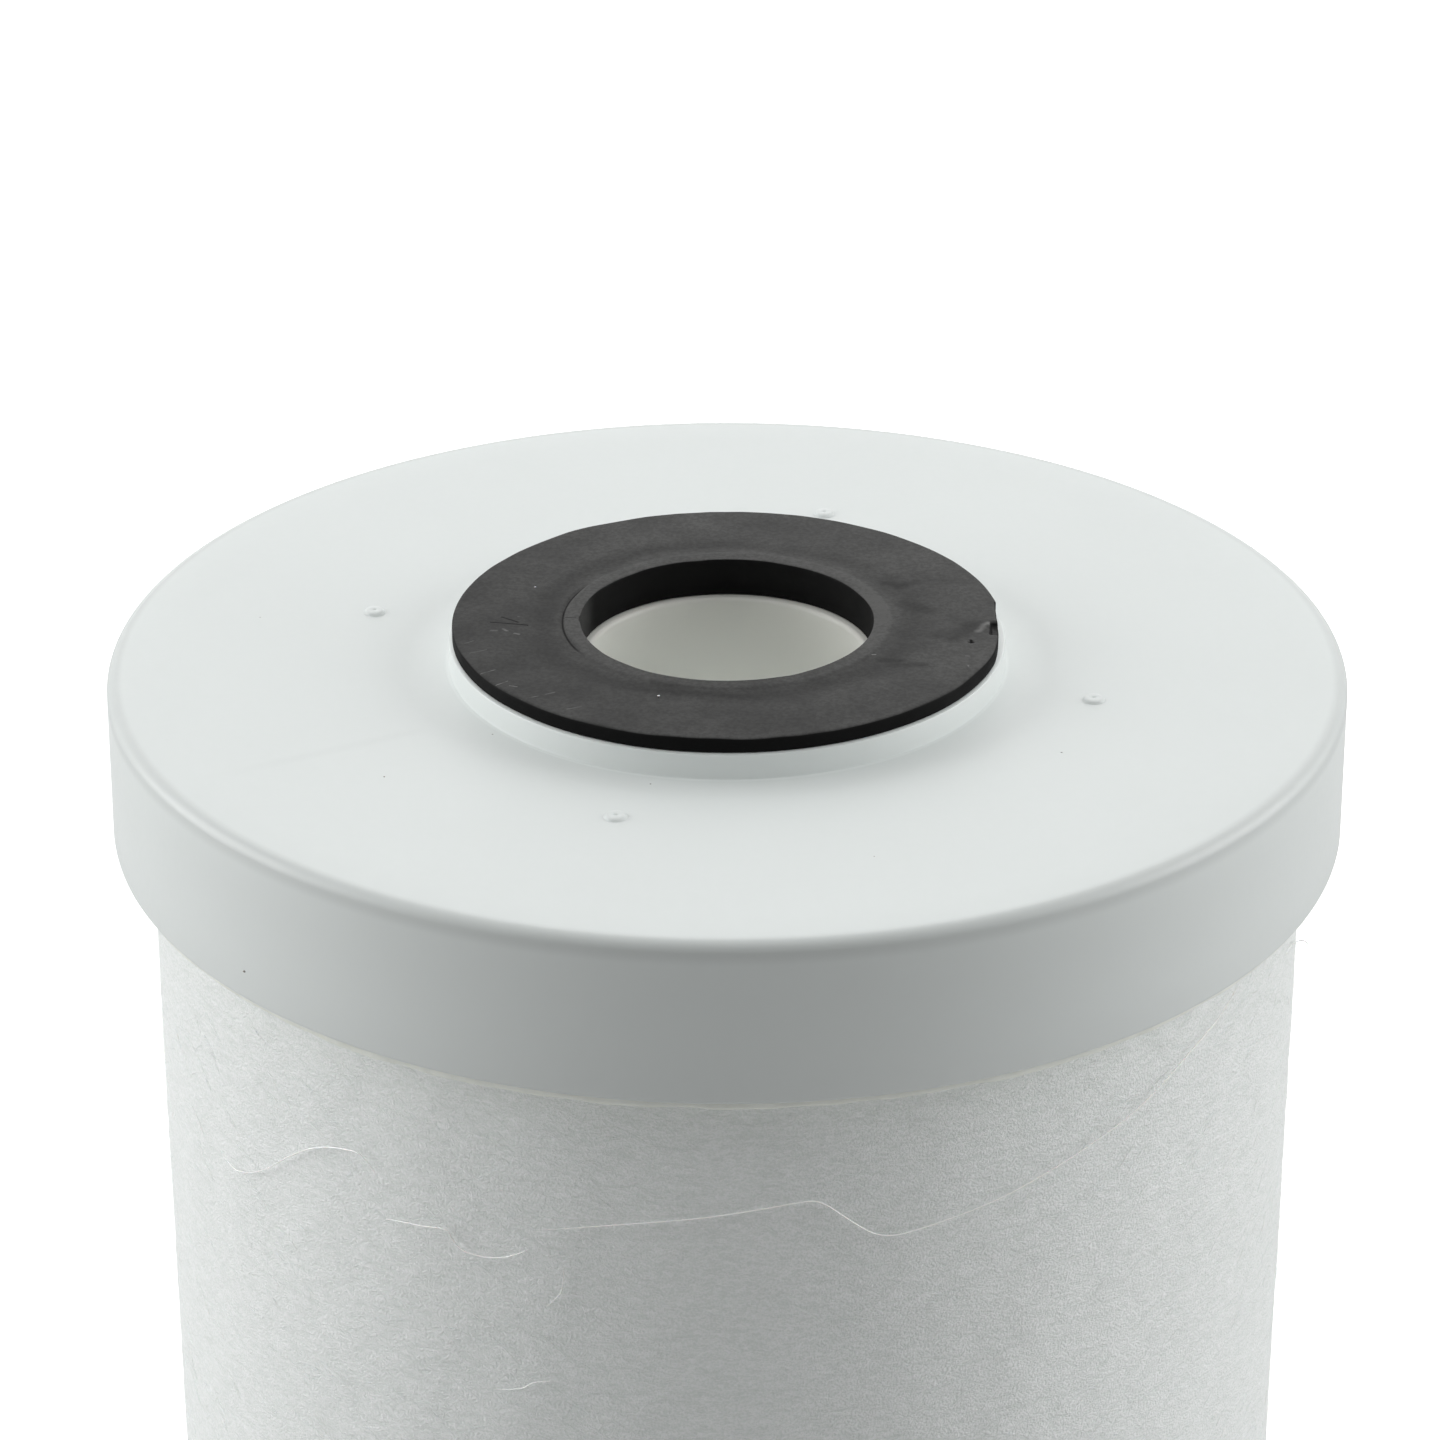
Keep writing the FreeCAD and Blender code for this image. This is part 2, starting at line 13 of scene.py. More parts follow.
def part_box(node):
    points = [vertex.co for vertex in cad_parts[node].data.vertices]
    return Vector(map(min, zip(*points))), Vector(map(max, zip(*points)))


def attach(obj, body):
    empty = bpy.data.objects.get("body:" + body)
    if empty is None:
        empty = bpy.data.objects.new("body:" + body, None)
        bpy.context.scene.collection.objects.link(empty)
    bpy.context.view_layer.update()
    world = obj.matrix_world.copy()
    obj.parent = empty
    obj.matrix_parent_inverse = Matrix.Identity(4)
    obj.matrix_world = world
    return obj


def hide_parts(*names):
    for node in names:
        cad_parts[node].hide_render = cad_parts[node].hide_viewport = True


bl_info = {
    "name": "Filter Cartridge",
    "version": (1, 0, 0),
    "blender": (4, 5, 0),
    "location": "3D View > Sidebar > Cartridge",
    "description": "Builds a felt-wrapped filter cartridge with its caps, gaskets and studio",
    "category": "Object",
}

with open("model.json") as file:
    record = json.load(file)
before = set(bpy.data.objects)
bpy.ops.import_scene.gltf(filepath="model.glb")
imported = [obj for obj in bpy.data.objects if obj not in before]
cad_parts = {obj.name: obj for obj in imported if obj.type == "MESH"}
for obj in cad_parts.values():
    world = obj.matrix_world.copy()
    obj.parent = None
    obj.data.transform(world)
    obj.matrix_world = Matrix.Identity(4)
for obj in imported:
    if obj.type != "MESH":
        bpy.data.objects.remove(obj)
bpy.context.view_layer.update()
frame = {"nodes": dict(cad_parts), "record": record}

BODY = "root"
MM = 0.001
FULL_TURN = 2.0 * math.pi
SIDES = ("top", "bottom")

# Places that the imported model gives.
CAP_LOW, CAP_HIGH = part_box("top_end_cap")
GASKET_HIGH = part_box("top_gasket")[1]
WRAP_LOW, WRAP_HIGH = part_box("outer_wrap")
BOND_LOW, BOND_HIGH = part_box("top_outer_bond")
TOP = GASKET_HIGH.z
LIP_RADIUS = CAP_HIGH.x
SKIRT_INSIDE = BOND_HIGH.x
SHELL_WALL = 3.0 * MM
SHELL_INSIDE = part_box("porous_shell")[1].x - SHELL_WALL
GASKET_RADIUS = GASKET_HIGH.x
WRAP_RADIUS = WRAP_HIGH.x
BORES = {mount["name"]: mount["dims"] for mount in frame["record"]["mounts"]}
GASKET_BORE = BORES["top_gasket_bore"]["r_mm"] * MM

# How finely and how closely the pieces are made.
CAP_SEGMENTS = 480
FELT_SEGMENTS = 400
RING_FIT = 0.1 * MM
INNER_ROUND = 0.3 * MM
STUB_ROOT = 0.1 * MM
FUZZ_MARGIN = 0.5 * MM

# The felt's lumps show between these heights and fade out towards the caps.
LUMPS_LOW = 19.5 * MM
LUMPS_HIGH = 228.5 * MM
LUMPS_FADE = 2.0 * MM

SENSOR = 36.0
BORE_LAMP_SIZE = 16.0 * MM
BORE_LAMP_DEPTH = 42.0 * MM
WHITE = (1.0, 1.0, 1.0, 1.0)


def length(name, description, millimetres):
    """A length that the panel shows."""
    return FloatProperty(name=name, description=description, default=millimetres * MM,
                         min=0.0, precision=5, unit="LENGTH")


def turn(name, description, degrees):
    """An angle that the panel shows."""
    return FloatProperty(name=name, description=description, default=math.radians(degrees),
                         subtype="ANGLE")


def amount(name, description, default, least=0.0):
    """A plain number that the panel shows."""
    return FloatProperty(name=name, description=description, default=default, min=least,
                         precision=4)


def colour(name, description, default):
    """A colour that the panel shows."""
    return FloatVectorProperty(name=name, description=description, default=default,
                               subtype="COLOR", size=3, min=0.0, max=1.0)


class CartridgeSizes(bpy.types.PropertyGroup):
    """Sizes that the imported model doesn't give by itself."""
    boss_height: length("Boss height", "Raised boss above its foot", 2.4)
    boss_margin: length("Boss margin", "Boss beyond the gasket's rim", 0.3)
    boss_wall: length("Boss wall", "Wall of the cored boss and of the gasket's seat", 2.0)
    plate_thickness: length("Plate thickness", "Plate of the cap at the boss", 2.2)
    rim_rise: length("Rim rise", "Rim above the foot of the boss", 0.6)
    rim_round: length("Rim round", "Round between the face and the skirt", 1.0)
    skirt_draft: length("Skirt draft", "Lip beyond the rim", 0.15)
    seat_radius: length("Seat radius", "Seat that the gasket's neck plugs into", 14.85)
    seat_depth: length("Seat depth", "Seat floor below the gasket's face", 3.7)
    throat_radius: length("Throat radius", "Bore of the cap's collar", 12.75)
    collar_depth: length("Collar depth", "Collar's end below the gasket's face", 17.7)
    collar_wall: length("Collar wall", "Wall of the collar that carries the core tube", 1.9)
    ring_wall: length("Ring wall", "Wall of the ring inside the porous shell", 1.5)
    ring_height: length("Ring height", "That ring above the plate", 5.0)
    gate_radius: length("Gate radius", "Stub left by an injection gate", 0.96)
    gate_height: length("Gate height", "Stub above the face", 0.28)
    gate_circle: length("Gate circle", "Radius of the circle of gates", 34.7)
    gate_count: IntProperty(name="Gates", description="Injection gates round a cap", default=4, min=1)
    gate_turn: turn("Gate turn", "Turn of the first gate", -16.1)
    flange: length("Flange", "Thickness of the gasket's flange", 1.55)
    neck_wall: length("Neck wall", "Wall of the gasket's neck", 1.3)
    neck_end: length("Neck end", "Neck's end below the gasket's face", 3.65)
    lip_width: length("Lip width", "Gasket's bore to the crease round its inner lip", 1.7)
    bead_spread: length("Bead spread", "Glue squeezed out under the lip", 1.45)
    bead_waver: length("Bead waver", "How uneven the hot-melt bead is", 0.3)
    felt_thickness: length("Felt thickness", "Outer wrap of felt", 3.0)
    felt_relief: length("Felt relief", "Height of the felt's soft lumps", 0.1)
    lap_width: length("Lap width", "Where the felt's two ends overlap", 14.0)
    lap_rise: length("Lap rise", "Lap above the felt", 0.5)
    fuzz_length: length("Fuzz length", "Short fibres that lie on the felt", 3.2)
    fuzz_radius: length("Fuzz radius", "Thickness of a short fibre, as a radius", 0.016)
    fuzz_count: IntProperty(name="Fuzz fibres", description="Short fibres on the felt",
                            default=7000, min=0)
    fibre_radius: length("Loose fibre radius", "Thickness of a long fibre, as a radius", 0.062)


class CartridgeColours(bpy.types.PropertyGroup):
    """Main colour of each finish, with painted light in the throat's tone and in the rubber's paler top.
    """
    cap: colour("Cap plastic", "Moulded white polypropylene", (0.667, 0.703, 0.691))
    # Painted light and shade: the throat is the cap's own plastic, given this warmer, darker tone for how
    # the light falls down it.
    throat: colour("Throat", "Inside of the cap's throat, where light comes through", (0.6, 0.603, 0.563))
    rubber: colour("Gasket rubber", "Black moulded rubber", (0.0045, 0.0045, 0.0045))
    # Paler colour of the rubber's top: dust, with a painted reflection of the bright surroundings in it.
    rubber_dust_and_reflection: colour("Rubber dust", "Pale dust and scuffs on the rubber", (0.098, 0.098, 0.096))
    felt: colour("Felt", "White needled felt", (0.93, 0.98, 0.95))
    glue: colour("Hot melt", "Cloudy hot-melt glue", (0.9, 0.93, 0.85))
    porous: colour("Porous plastic", "Sintered granular plastic", (0.80, 0.80, 0.79))
    carbon: colour("Carbon", "Granular activated carbon", (0.03, 0.03, 0.032))
    foam: colour("Foam", "Open-cell foam", (0.80, 0.78, 0.72))
    floor: colour("Floor", "Pale studio floor", (0.55, 0.55, 0.55))


class StudioSettings(bpy.types.PropertyGroup):
    """Camera and lamps of the studio, with the lamps' powers in watts."""
    camera_distance: length("Camera distance", "Camera to the middle of the cap's face", 437.8)
    camera_elevation: turn("Camera elevation", "Height angle of the camera", 24.852)
    camera_pitch: turn("Camera pitch", "Downward tilt of the camera", 25.619)
    camera_turn: turn("Camera turn", "Turn of the camera about the vertical", 0.094)
    camera_lens: amount("Camera lens", "Focal length in millimetres", 118.02, 1.0)
    sky: amount("Sky", "Soft light from all round", 0.221)
    gloss_sky: amount("Sky in reflections", "Brightness that shiny faces see", 1.0)
    top_lamp: amount("Top lamp", "Power of the lamp overhead", 9.8)
    left_lamp: amount("Left lamp", "Power of the left lamp", 9.8)
    right_lamp: amount("Right lamp", "Power of the right lamp", 8.4)
    back_lamp: amount("Back lamp", "Power of the low back lamp", 4.8)
    bore_lamp: amount("Bore lamp", "Power of the small lamp down the bore, for the light that comes "
                      "through the walls", 0.0047)


# Outlines and meshes


def rounded_outline(corners, longest=0.25 * MM):
    """A closed outline through corners given as across, up and round, with arcs for the rounds."""
    points = []
    count = len(corners)
    for index, (across, up, size) in enumerate(corners):
        here = Vector((across, up))
        if size == 0.0:
            points.append((across, up))
            continue
        before = (Vector(corners[index - 1][:2]) - here).normalized()
        after = (Vector(corners[(index + 1) % count][:2]) - here).normalized()
        half = before.angle(after) / 2.0
        centre = here + (before + after).normalized() * (size / math.sin(half))
        start = here + before * (size / math.tan(half)) - centre
        end = here + after * (size / math.tan(half)) - centre
        first = math.atan2(start.y, start.x)
        sweep = (math.atan2(end.y, end.x) - first + math.pi) % FULL_TURN - math.pi
        steps = max(2, math.ceil(abs(sweep) * size / longest))
        for step in range(steps + 1):
            angle = first + sweep * step / steps
            points.append((centre.x + size * math.cos(angle), centre.y + size * math.sin(angle)))
    return points


def divided(points, longest, on_face=None):
    """The same closed outline with its long runs cut up, and finer where it lies on the face."""
    fine = []
    for index, point in enumerate(points):
        after = points[(index + 1) % len(points)]
        level = on_face is not None and max(point[1], after[1]) < 0.01 * MM
        steps = max(1, math.ceil(math.dist(point, after) / (on_face if level else longest)))
        for step in range(steps):
            share = step / steps
            fine.append((point[0] + (after[0] - point[0]) * share,
                         point[1] + (after[1] - point[1]) * share))
    return fine


def turned_grid(points, segments):
    """Radius, height and angle grids of an outline turned about the axis."""
    outline = np.array(points)
    angle = np.linspace(0.0, FULL_TURN, segments, endpoint=False)[:, None]
    radius = np.repeat(outline[None, :, 0], segments, axis=0)
    height = np.repeat(outline[None, :, 1], segments, axis=0)
    return radius, height, np.repeat(angle, len(outline), axis=1)


def grid_mesh(name, radius, height, angle):
    """A closed ring-shaped mesh from grids that join up both ways, with faces outwards."""
    rows, columns = radius.shape
    spots = np.stack([radius * np.cos(angle), radius * np.sin(angle), height], axis=-1)
    index = np.arange(rows * columns).reshape(rows, columns)
    across = np.roll(index, -1, axis=0)
    faces = np.stack([index, across, np.roll(across, -1, axis=1), np.roll(index, -1, axis=1)],
                     axis=-1)
    mesh = bpy.data.meshes.new(name)
    mesh.from_pydata(spots.reshape(-1, 3).tolist(), [], faces.reshape(-1, 4).tolist())
    work = bmesh.new()
    work.from_mesh(mesh)
    close_mesh(work, mesh)
    mesh.validate()
    return mesh


def close_mesh(work, mesh):
    """Writes a work mesh out, with its faces outwards."""
    bmesh.ops.recalc_face_normals(work, faces=work.faces)
    work.to_mesh(mesh)
    work.free()


def finish_mesh(mesh, sharp_angle=35.0):
    """Smooth shading, with edges kept sharp past an angle in degrees."""
    mesh.shade_smooth()
    mesh.set_sharp_from_angle(angle=math.radians(sharp_angle))


def add_object(name, data):
    """A new object in the scene."""
    item = bpy.data.objects.new(name, data)
    bpy.context.scene.collection.objects.link(item)
    return item


def plain_mesh(holder, name):
    """The mesh that an object comes to, without the object."""
    mesh = bpy.data.meshes.new_from_object(
        holder.evaluated_get(bpy.context.evaluated_depsgraph_get()))
    bpy.data.objects.remove(holder)
    mesh.name = name
    return mesh


def paint(mesh, material):
    """Gives a mesh its one material."""
    mesh.materials.clear()
    mesh.materials.append(material)


def add_piece(name, mesh, material, nodes=()):
    """A finished piece on the cartridge's body, in place of the CAD nodes named."""
    piece = add_object(name, mesh)
    paint(mesh, material)
    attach(piece, BODY)
    if nodes:
        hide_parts(*nodes)
    return piece


def waver(angle, seed, waves, strength=1.0):
    """A smooth uneven curve round the axis, from a few waves with seeded phases."""
    draw = np.random.default_rng(seed)
    total = np.zeros_like(angle)
    for wave in waves:
        size = draw.uniform(0.5, 1.0) / len(waves)
        total += size * np.sin(wave * angle + draw.uniform(0.0, FULL_TURN))
    return strength * total


def bump_at(value, centre, width):
    """A soft bump of height 1 about a centre."""
    return np.exp(-((value - centre) / width) ** 2)


def from_end(depth, side):
    """Height of a depth below the gasket's face, at the upper or the lower end."""
    return TOP - depth if side == "top" else depth


# Materials


class Value:
    """A number in a node tree that takes plain sums."""

    def __init__(self, graph, socket):
        self.graph = graph
        self.socket = socket

    def __add__(self, other):
        return self.graph.math("ADD", self, other)

    def __sub__(self, other):
        return self.graph.math("SUBTRACT", self, other)

    def __rsub__(self, other):
        return self.graph.math("SUBTRACT", other, self)

    def __mul__(self, other):
        return self.graph.math("MULTIPLY", self, other)

    def __pow__(self, other):
        return self.graph.math("POWER", self, other)

    def __abs__(self):
        return self.graph.math("ABSOLUTE", self)


class Graph:
    """Adds shader or geometry nodes to a tree and joins them up."""

    def __init__(self, tree, owner=None):
        self.tree = tree
        self.owner = owner
        tree.nodes.clear()

    def add(self, kind, inputs=None, **settings):
        """A node with its settings, and its inputs given by name or number."""
        node = self.tree.nodes.new(kind)
        for name, setting in settings.items():
            setattr(node, name, setting)
        for name, source in (inputs or {}).items():
            self.put(node.inputs[name], source)
        return node

    def put(self, socket, source):
        """Joins a socket to another one, or sets its plain value."""
        if isinstance(source, Value):
            source = source.socket
        if isinstance(source, bpy.types.NodeSocket):
            self.tree.links.new(source, socket)
        else:
            socket.default_value = source

    def math(self, operation, first, second=0.0):
        """One sum on numbers."""
        node = self.add("ShaderNodeMath", {0: first, 1: second}, operation=operation)
        return Value(self, node.outputs[0])

    def vector(self, operation, first, second=None):
        """One sum on vectors."""
        node = self.add("ShaderNodeVectorMath", {0: first}, operation=operation)
        if second is not None:
            self.put(node.inputs["Scale" if operation == "SCALE" else 1], second)
        if operation in ("LENGTH", "DOT_PRODUCT"):
            return Value(self, node.outputs["Value"])
        return node.outputs["Vector"]

    def split(self, vector):
        """The three numbers of a vector."""
        node = self.add("ShaderNodeSeparateXYZ", {0: vector})
        return [Value(self, part) for part in node.outputs]

    def combine(self, **parts):
        """A vector from the numbers given as X, Y and Z."""
        return self.add("ShaderNodeCombineXYZ", parts).outputs["Vector"]

    def radius(self, x, y):
        """Distance from the axis."""
        return self.math("SQRT", x ** 2.0 + y ** 2.0)

    def noise(self, coords, scale, detail=3.0, roughness=0.5):
        """Soft noise from 0 to 1."""
        node = self.add("ShaderNodeTexNoise", {
            "Vector": coords, "Scale": scale, "Detail": detail, "Roughness": roughness})
        return Value(self, node.outputs["Fac"])

    def random(self, seed, low, high, kind="FLOAT"):
        """Random numbers, or random vectors, between two ends."""
        node = self.add("FunctionNodeRandomValue", {"Seed": seed}, data_type=kind)
        first = 2 if kind == "FLOAT" else 0
        self.put(node.inputs[first], low)
        self.put(node.inputs[first + 1], high)
        return node.outputs[first // 2]

    def ramp(self, source, low, high, start=0.0, end=1.0):
        """Moves a range of values onto another, with smooth ends."""
        node = self.add("ShaderNodeMapRange", {
            "Value": source, "From Min": low, "From Max": high, "To Min": start, "To Max": end},
            interpolation_type="SMOOTHSTEP")
        return Value(self, node.outputs["Result"])

    def mapped(self, coords, scale=(1, 1, 1), degrees=0.0):
        """Coordinates turned about the vertical and stretched."""
        node = self.add("ShaderNodeMapping", {
            "Vector": coords, "Scale": scale, "Rotation": (0.0, 0.0, math.radians(degrees))})
        return node.outputs["Vector"]

    def blend(self, share, first, second):
        """A mix of two colours, each a socket or three numbers."""
        first, second = (end if isinstance(end, bpy.types.NodeSocket) else (*end, 1.0)
                         for end in (first, second))
        node = self.add("ShaderNodeMix", {"Factor": share, 6: first, 7: second}, data_type="RGBA")
        return node.outputs[2]

    def close(self, shader):
        """The material, ended in a shader."""
        self.add("ShaderNodeOutputMaterial", {"Surface": shader})
        return self.owner

    def surface(self, inputs, bump=None, distance=0.1 * MM, strength=1.0):
        """The material, ended in the main shader, with a bump from a height if there is one."""
        shader = self.add("ShaderNodeBsdfPrincipled", inputs)
        if bump is not None:
            node = self.add("ShaderNodeBump", {
                "Height": bump, "Distance": distance, "Strength": strength})
            self.put(shader.inputs["Normal"], node.outputs["Normal"])
        return self.close(shader.outputs["BSDF"])


def new_material(name):
    """The graph of a new material, and its Object coordinates."""
    material = bpy.data.materials.new(name)
    material.use_nodes = True
    graph = Graph(material.node_tree, material)
    return graph, graph.add("ShaderNodeTexCoord").outputs["Object"]


def shade(tone, share):
    """A colour made darker or lighter."""
    return tuple(min(1.0, part * share) for part in tone)


# Turn of the flow line about the axis, in degrees.
FLOW_TURN = 210.2


def cap_plastic(name, colours):
    """Satin moulded polypropylene, with painted shade on the rim's round, painted light on the boss, a
    tone painted in the throat for its light and shade, and one faint line where the flow met.
    """
    graph, place = new_material(name)
    fine = graph.noise(place, 1400.0)
    x, y, z = graph.split(place)
    radius = graph.radius(x, y)
    # Darker tone for the flow line and for the painted shade on the rim.
    flow_line_and_rim_shade = shade(colours.cap, 0.87)
    cloud = graph.ramp(graph.noise(place, 45.0, 2.0), 0.3, 0.7)
    base = graph.blend(cloud, shade(colours.cap, 0.985), colours.cap)
    # Painted light: all within the boss's outer wall is painted lighter, so that the boss's side looks
    # brighter.
    boss = graph.ramp(radius, 25.9 * MM, 26.2 * MM, 1.0, 0.0)
    base = graph.blend(boss, base, shade(colours.cap, 1.06))
    # Painted light and shade: the throat gets its own warmer, darker tone, though it is the cap's
    # plastic.
    inside = graph.ramp(radius, 14.0 * MM, 15.0 * MM, 1.0, 0.0)
    base = graph.blend(inside, base, colours.throat)
    # Painted shade on the round between the face and the skirt, at both ends.
    rim = graph.ramp(radius, 55.6 * MM, 56.4 * MM) * graph.ramp(
        abs(z - TOP / 2.0), 118.4 * MM, 119.5 * MM)
    base = graph.blend(rim, base, flow_line_and_rim_shade)
    along, aside, _ = graph.split(graph.mapped(place, degrees=-FLOW_TURN))
    line = graph.ramp(abs(aside), 0.1 * MM, 1.1 * MM, 0.22, 0.0)
    reach = graph.ramp(along, 30.0 * MM, 34.0 * MM) * graph.ramp(
        along, 44.0 * MM, 54.0 * MM, 1.0, 0.0)
    return graph.surface({
        "Base Color": graph.blend(line * reach, base, flow_line_and_rim_shade),
        "Roughness": graph.ramp(fine, 0.2, 0.8, 0.42, 0.52),
        "IOR": 1.49, "Specular IOR Level": 0.7,
        "Sheen Weight": 0.3, "Sheen Roughness": 0.25,
        "Subsurface Weight": 0.12, "Subsurface Radius": (1.0, 0.95, 0.85),
        "Subsurface Scale": 1.2 * MM}, fine * 0.12, 0.05 * MM, 0.6)


# Marks on the upper gasket in millimetres, each a stroke from one x and y to another, with its width
# and how pale it is; a negative paleness is dark. The narrow pale ones are scuffs and the narrow dark
# ones at the left are cuts; the wide pale one on the torn flap is a painted highlight, and the dark
# ones in the tear's recess and pit and the other wide dark ones are painted shade.
GASKET_STROKES = [
    (-21.8, -0.9, -18.4, -1.4, 0.28, -1.0), (-20.8, 0.2, -19.3, -0.8, 0.28, -1.0),
    (-15.2, 0.2, -14.0, 0.2, 0.16, -0.7), (-22.2, -2.7, -21.2, -2.7, 0.5, 0.1),
    (-20.6, -2.3, -20.1, -2.9, 0.4, 0.16), (-19.5, -3.3, -19.1, -3.5, 0.4, 0.16),
    (-19.3, 0.4, -18.9, 0.3, 0.3, 0.12), (-24.2, -5.5, -23.2, -4.8, 0.15, 0.12),
    (-23.4, -7.6, -21.9, -6.9, 0.14, 0.12), (-22.2, -12.0, -20.8, -11.0, 0.16, 0.2),
    (-20.7, -14.4, -19.7, -13.5, 0.16, 0.26), (-19.5, -14.5, -18.8, -14.8, 0.16, 0.22),
    (-18.3, -17.4, -14.9, -15.6, 0.15, 0.2), (-14.2, -19.3, -12.9, -18.8, 0.15, 0.16),
    (13.2, -7.9, 13.5, -7.8, 0.22, 0.3), (21.7, -8.1, 22.0, -8.1, 0.3, 0.14),
    (21.8, -10.2, 21.8, -10.5, 0.25, 0.3), (23.1, -2.4, 24.1, -1.0, 1.2, 0.22),
    (24.3, -2.1, 24.5, -2.9, 0.5, -0.9), (21.9, -1.3, 23.4, -0.7, 1.5, -0.5),
    (22.3, -4.5, 22.5, -5.1, 0.42, -1.0), (14.8, 8.4, 16.2, 7.8, 1.7, -0.4),
    (16.2, 7.4, 17.8, 8.2, 2.2, -0.55), (19.1, 8.9, 20.7, 8.9, 1.6, -0.2),
    (16.6, 3.6, 18.8, 1.8, 3.4, -0.36), (20.6, -4.2, 22.8, -1.2, 3.2, -0.5),
    (13.9, -8.8, 15.7, -9.0, 1.6, -0.45), (15.0, -9.9, 17.7, -10.1, 1.8, -0.4),
    (19.4, -3.8, 22.2, -2.4, 3.0, -0.42), (-9.9, -14.9, 2.9, -16.9, 1.6, -0.22),
]


def stroke_mask(graph, place, stroke):
    """How much a point lies on a stroke, with the distance to it worked out in the plane."""
    *ends, width, strength = stroke
    first = Vector((*ends[:2], 0.0)) * MM
    along = Vector((*ends[2:], 0.0)) * MM - first
    flat = graph.vector("SUBTRACT", graph.vector("MULTIPLY", place, (1.0, 1.0, 0.0)), tuple(first))
    share = graph.math("DIVIDE", graph.vector("DOT_PRODUCT", flat, tuple(along)), along.dot(along))
    clamped = graph.math("MINIMUM", graph.math("MAXIMUM", share, 0.0), 1.0)
    nearest = graph.vector("SCALE", tuple(along), clamped)
    gap = graph.vector("LENGTH", graph.vector("SUBTRACT", flat, nearest))
    edge = width * MM / 2.0
    core = edge * 0.3 if width < 1.0 else 0.0
    return graph.ramp(gap, core, edge, 1.0, 0.0) * abs(strength)


def sum_strokes(graph, place, darkest, palest):
    """All the strokes together whose paleness lies between two ends."""
    total = 0.0
    for stroke in GASKET_STROKES:
        if darkest < stroke[-1] < palest:
            total = graph.math("MAXIMUM", stroke_mask(graph, place, stroke), total)
    return total


def gasket_rubber(name, colours, scuffed):
    """Matt rubber, paler where it faces up from dust and a painted reflection, with a paler ring round
    the inner lip and, where it shows, scuffs and cuts, a painted highlight on the torn flap and painted
    shade in the crease, round the tear and on the uneven face.
    """
    graph, place = new_material(name)
    facing = graph.split(graph.add("ShaderNodeNewGeometry").outputs["Normal"])[2]
    level = graph.ramp(abs(facing), 0.55, 0.95)
    cloud = graph.noise(place, 170.0, 4.0, 0.56)
    grain = graph.noise(place, 2600.0, 3.0, 0.6)
    x, y, _ = graph.split(place)
    radius = graph.radius(x, y)
    wander = radius + graph.ramp(graph.noise(place, 90.0, 2.0), 0.2, 0.8, -1.2 * MM, 1.2 * MM)
    # Painted shade: the paler top is darkened over the dished ring round the lip.
    dished = graph.ramp(wander, 15.2 * MM, 16.6 * MM) * graph.ramp(
        wander, 17.0 * MM, 19.2 * MM, 1.0, 0.0)
    lip = graph.ramp(radius, 14.9 * MM, 15.4 * MM, 1.0, 0.0) * level
    beside = graph.ramp(abs(x), 5.0 * MM, 13.5 * MM, 0.06, 0.22)
    # Faces that look up are paler: dust, and a painted reflection of the bright surroundings in place of
    # the rubber's low gloss; the ring round the inner lip is paler too, more so to the left and right,
    # and all of it is paler towards the back right.
    dust = level * graph.ramp(cloud, 0.3, 0.7, 0.5, 0.86) * (1.0 - dished * 0.24) + lip * beside
    dust = dust * graph.ramp(grain, 0.3, 0.7, 0.82, 1.16)
    dust = dust * graph.ramp(x + y, -30.0 * MM, 30.0 * MM, 0.8, 1.1)
    rubbed = graph.ramp(x, -13.3 * MM, -12.3 * MM, 0.3, 0.0)
    inner = graph.ramp(radius, 13.6 * MM, 13.9 * MM, 1.0, 0.0)
    dust = graph.math("MAXIMUM", dust, rubbed * inner)
    base = graph.blend(dust, colours.rubber, colours.rubber_dust_and_reflection)
    height = grain * 0.4 + graph.noise(place, 500.0, 2.0) * 0.6
    if scuffed:
        # Pale strokes: scuffs, and a painted highlight on the torn flap.
        broken = graph.ramp(graph.noise(place, 900.0, 2.0), 0.35, 0.55)
        pale = sum_strokes(graph, place, 0.0, 2.0) * broken * level
        base = graph.blend(pale, base, (0.55, 0.55, 0.54))
        # Dark strokes: cuts, and painted shade in the tear's recess and pit, round the tear and on the
        # uneven face.
        dark = sum_strokes(graph, place, -2.0, 0.0) * graph.ramp(cloud, 0.3, 0.6, 0.65, 1.0)
        # Painted shade along the crease round the inner lip, at the left.
        crease = graph.ramp(radius, 15.06 * MM, 15.16 * MM) * graph.ramp(
            radius, 15.22 * MM, 15.32 * MM, 1.0, 0.0)
        crease = crease * graph.ramp(x, -14.1 * MM, -12.9 * MM, 1.0, 0.0)
        dark = graph.math("MAXIMUM", dark, crease * 0.85)
        base = graph.blend(dark * level, base, (0.006, 0.006, 0.006))
        height = height - sum_strokes(graph, place, -2.0, -0.5) * 2.0
    return graph.surface({
        "Base Color": base, "Roughness": graph.ramp(cloud, 0.3, 0.7, 0.62, 0.78),
        "IOR": 1.45, "Specular IOR Level": 0.07}, height, 0.05 * MM, 0.7)


# Turn of the felt's creases in degrees, and the ways that its fibres run: the turn, how long they
# are drawn and the scale.
CREASE_TURN = 20.0535
FELT_STREAKS = ((8.0, 6.0, 4.6), (-21.0, 5.0, 4.0), (42.0, 5.0, 4.3), (-63.0, 4.0, 3.8))


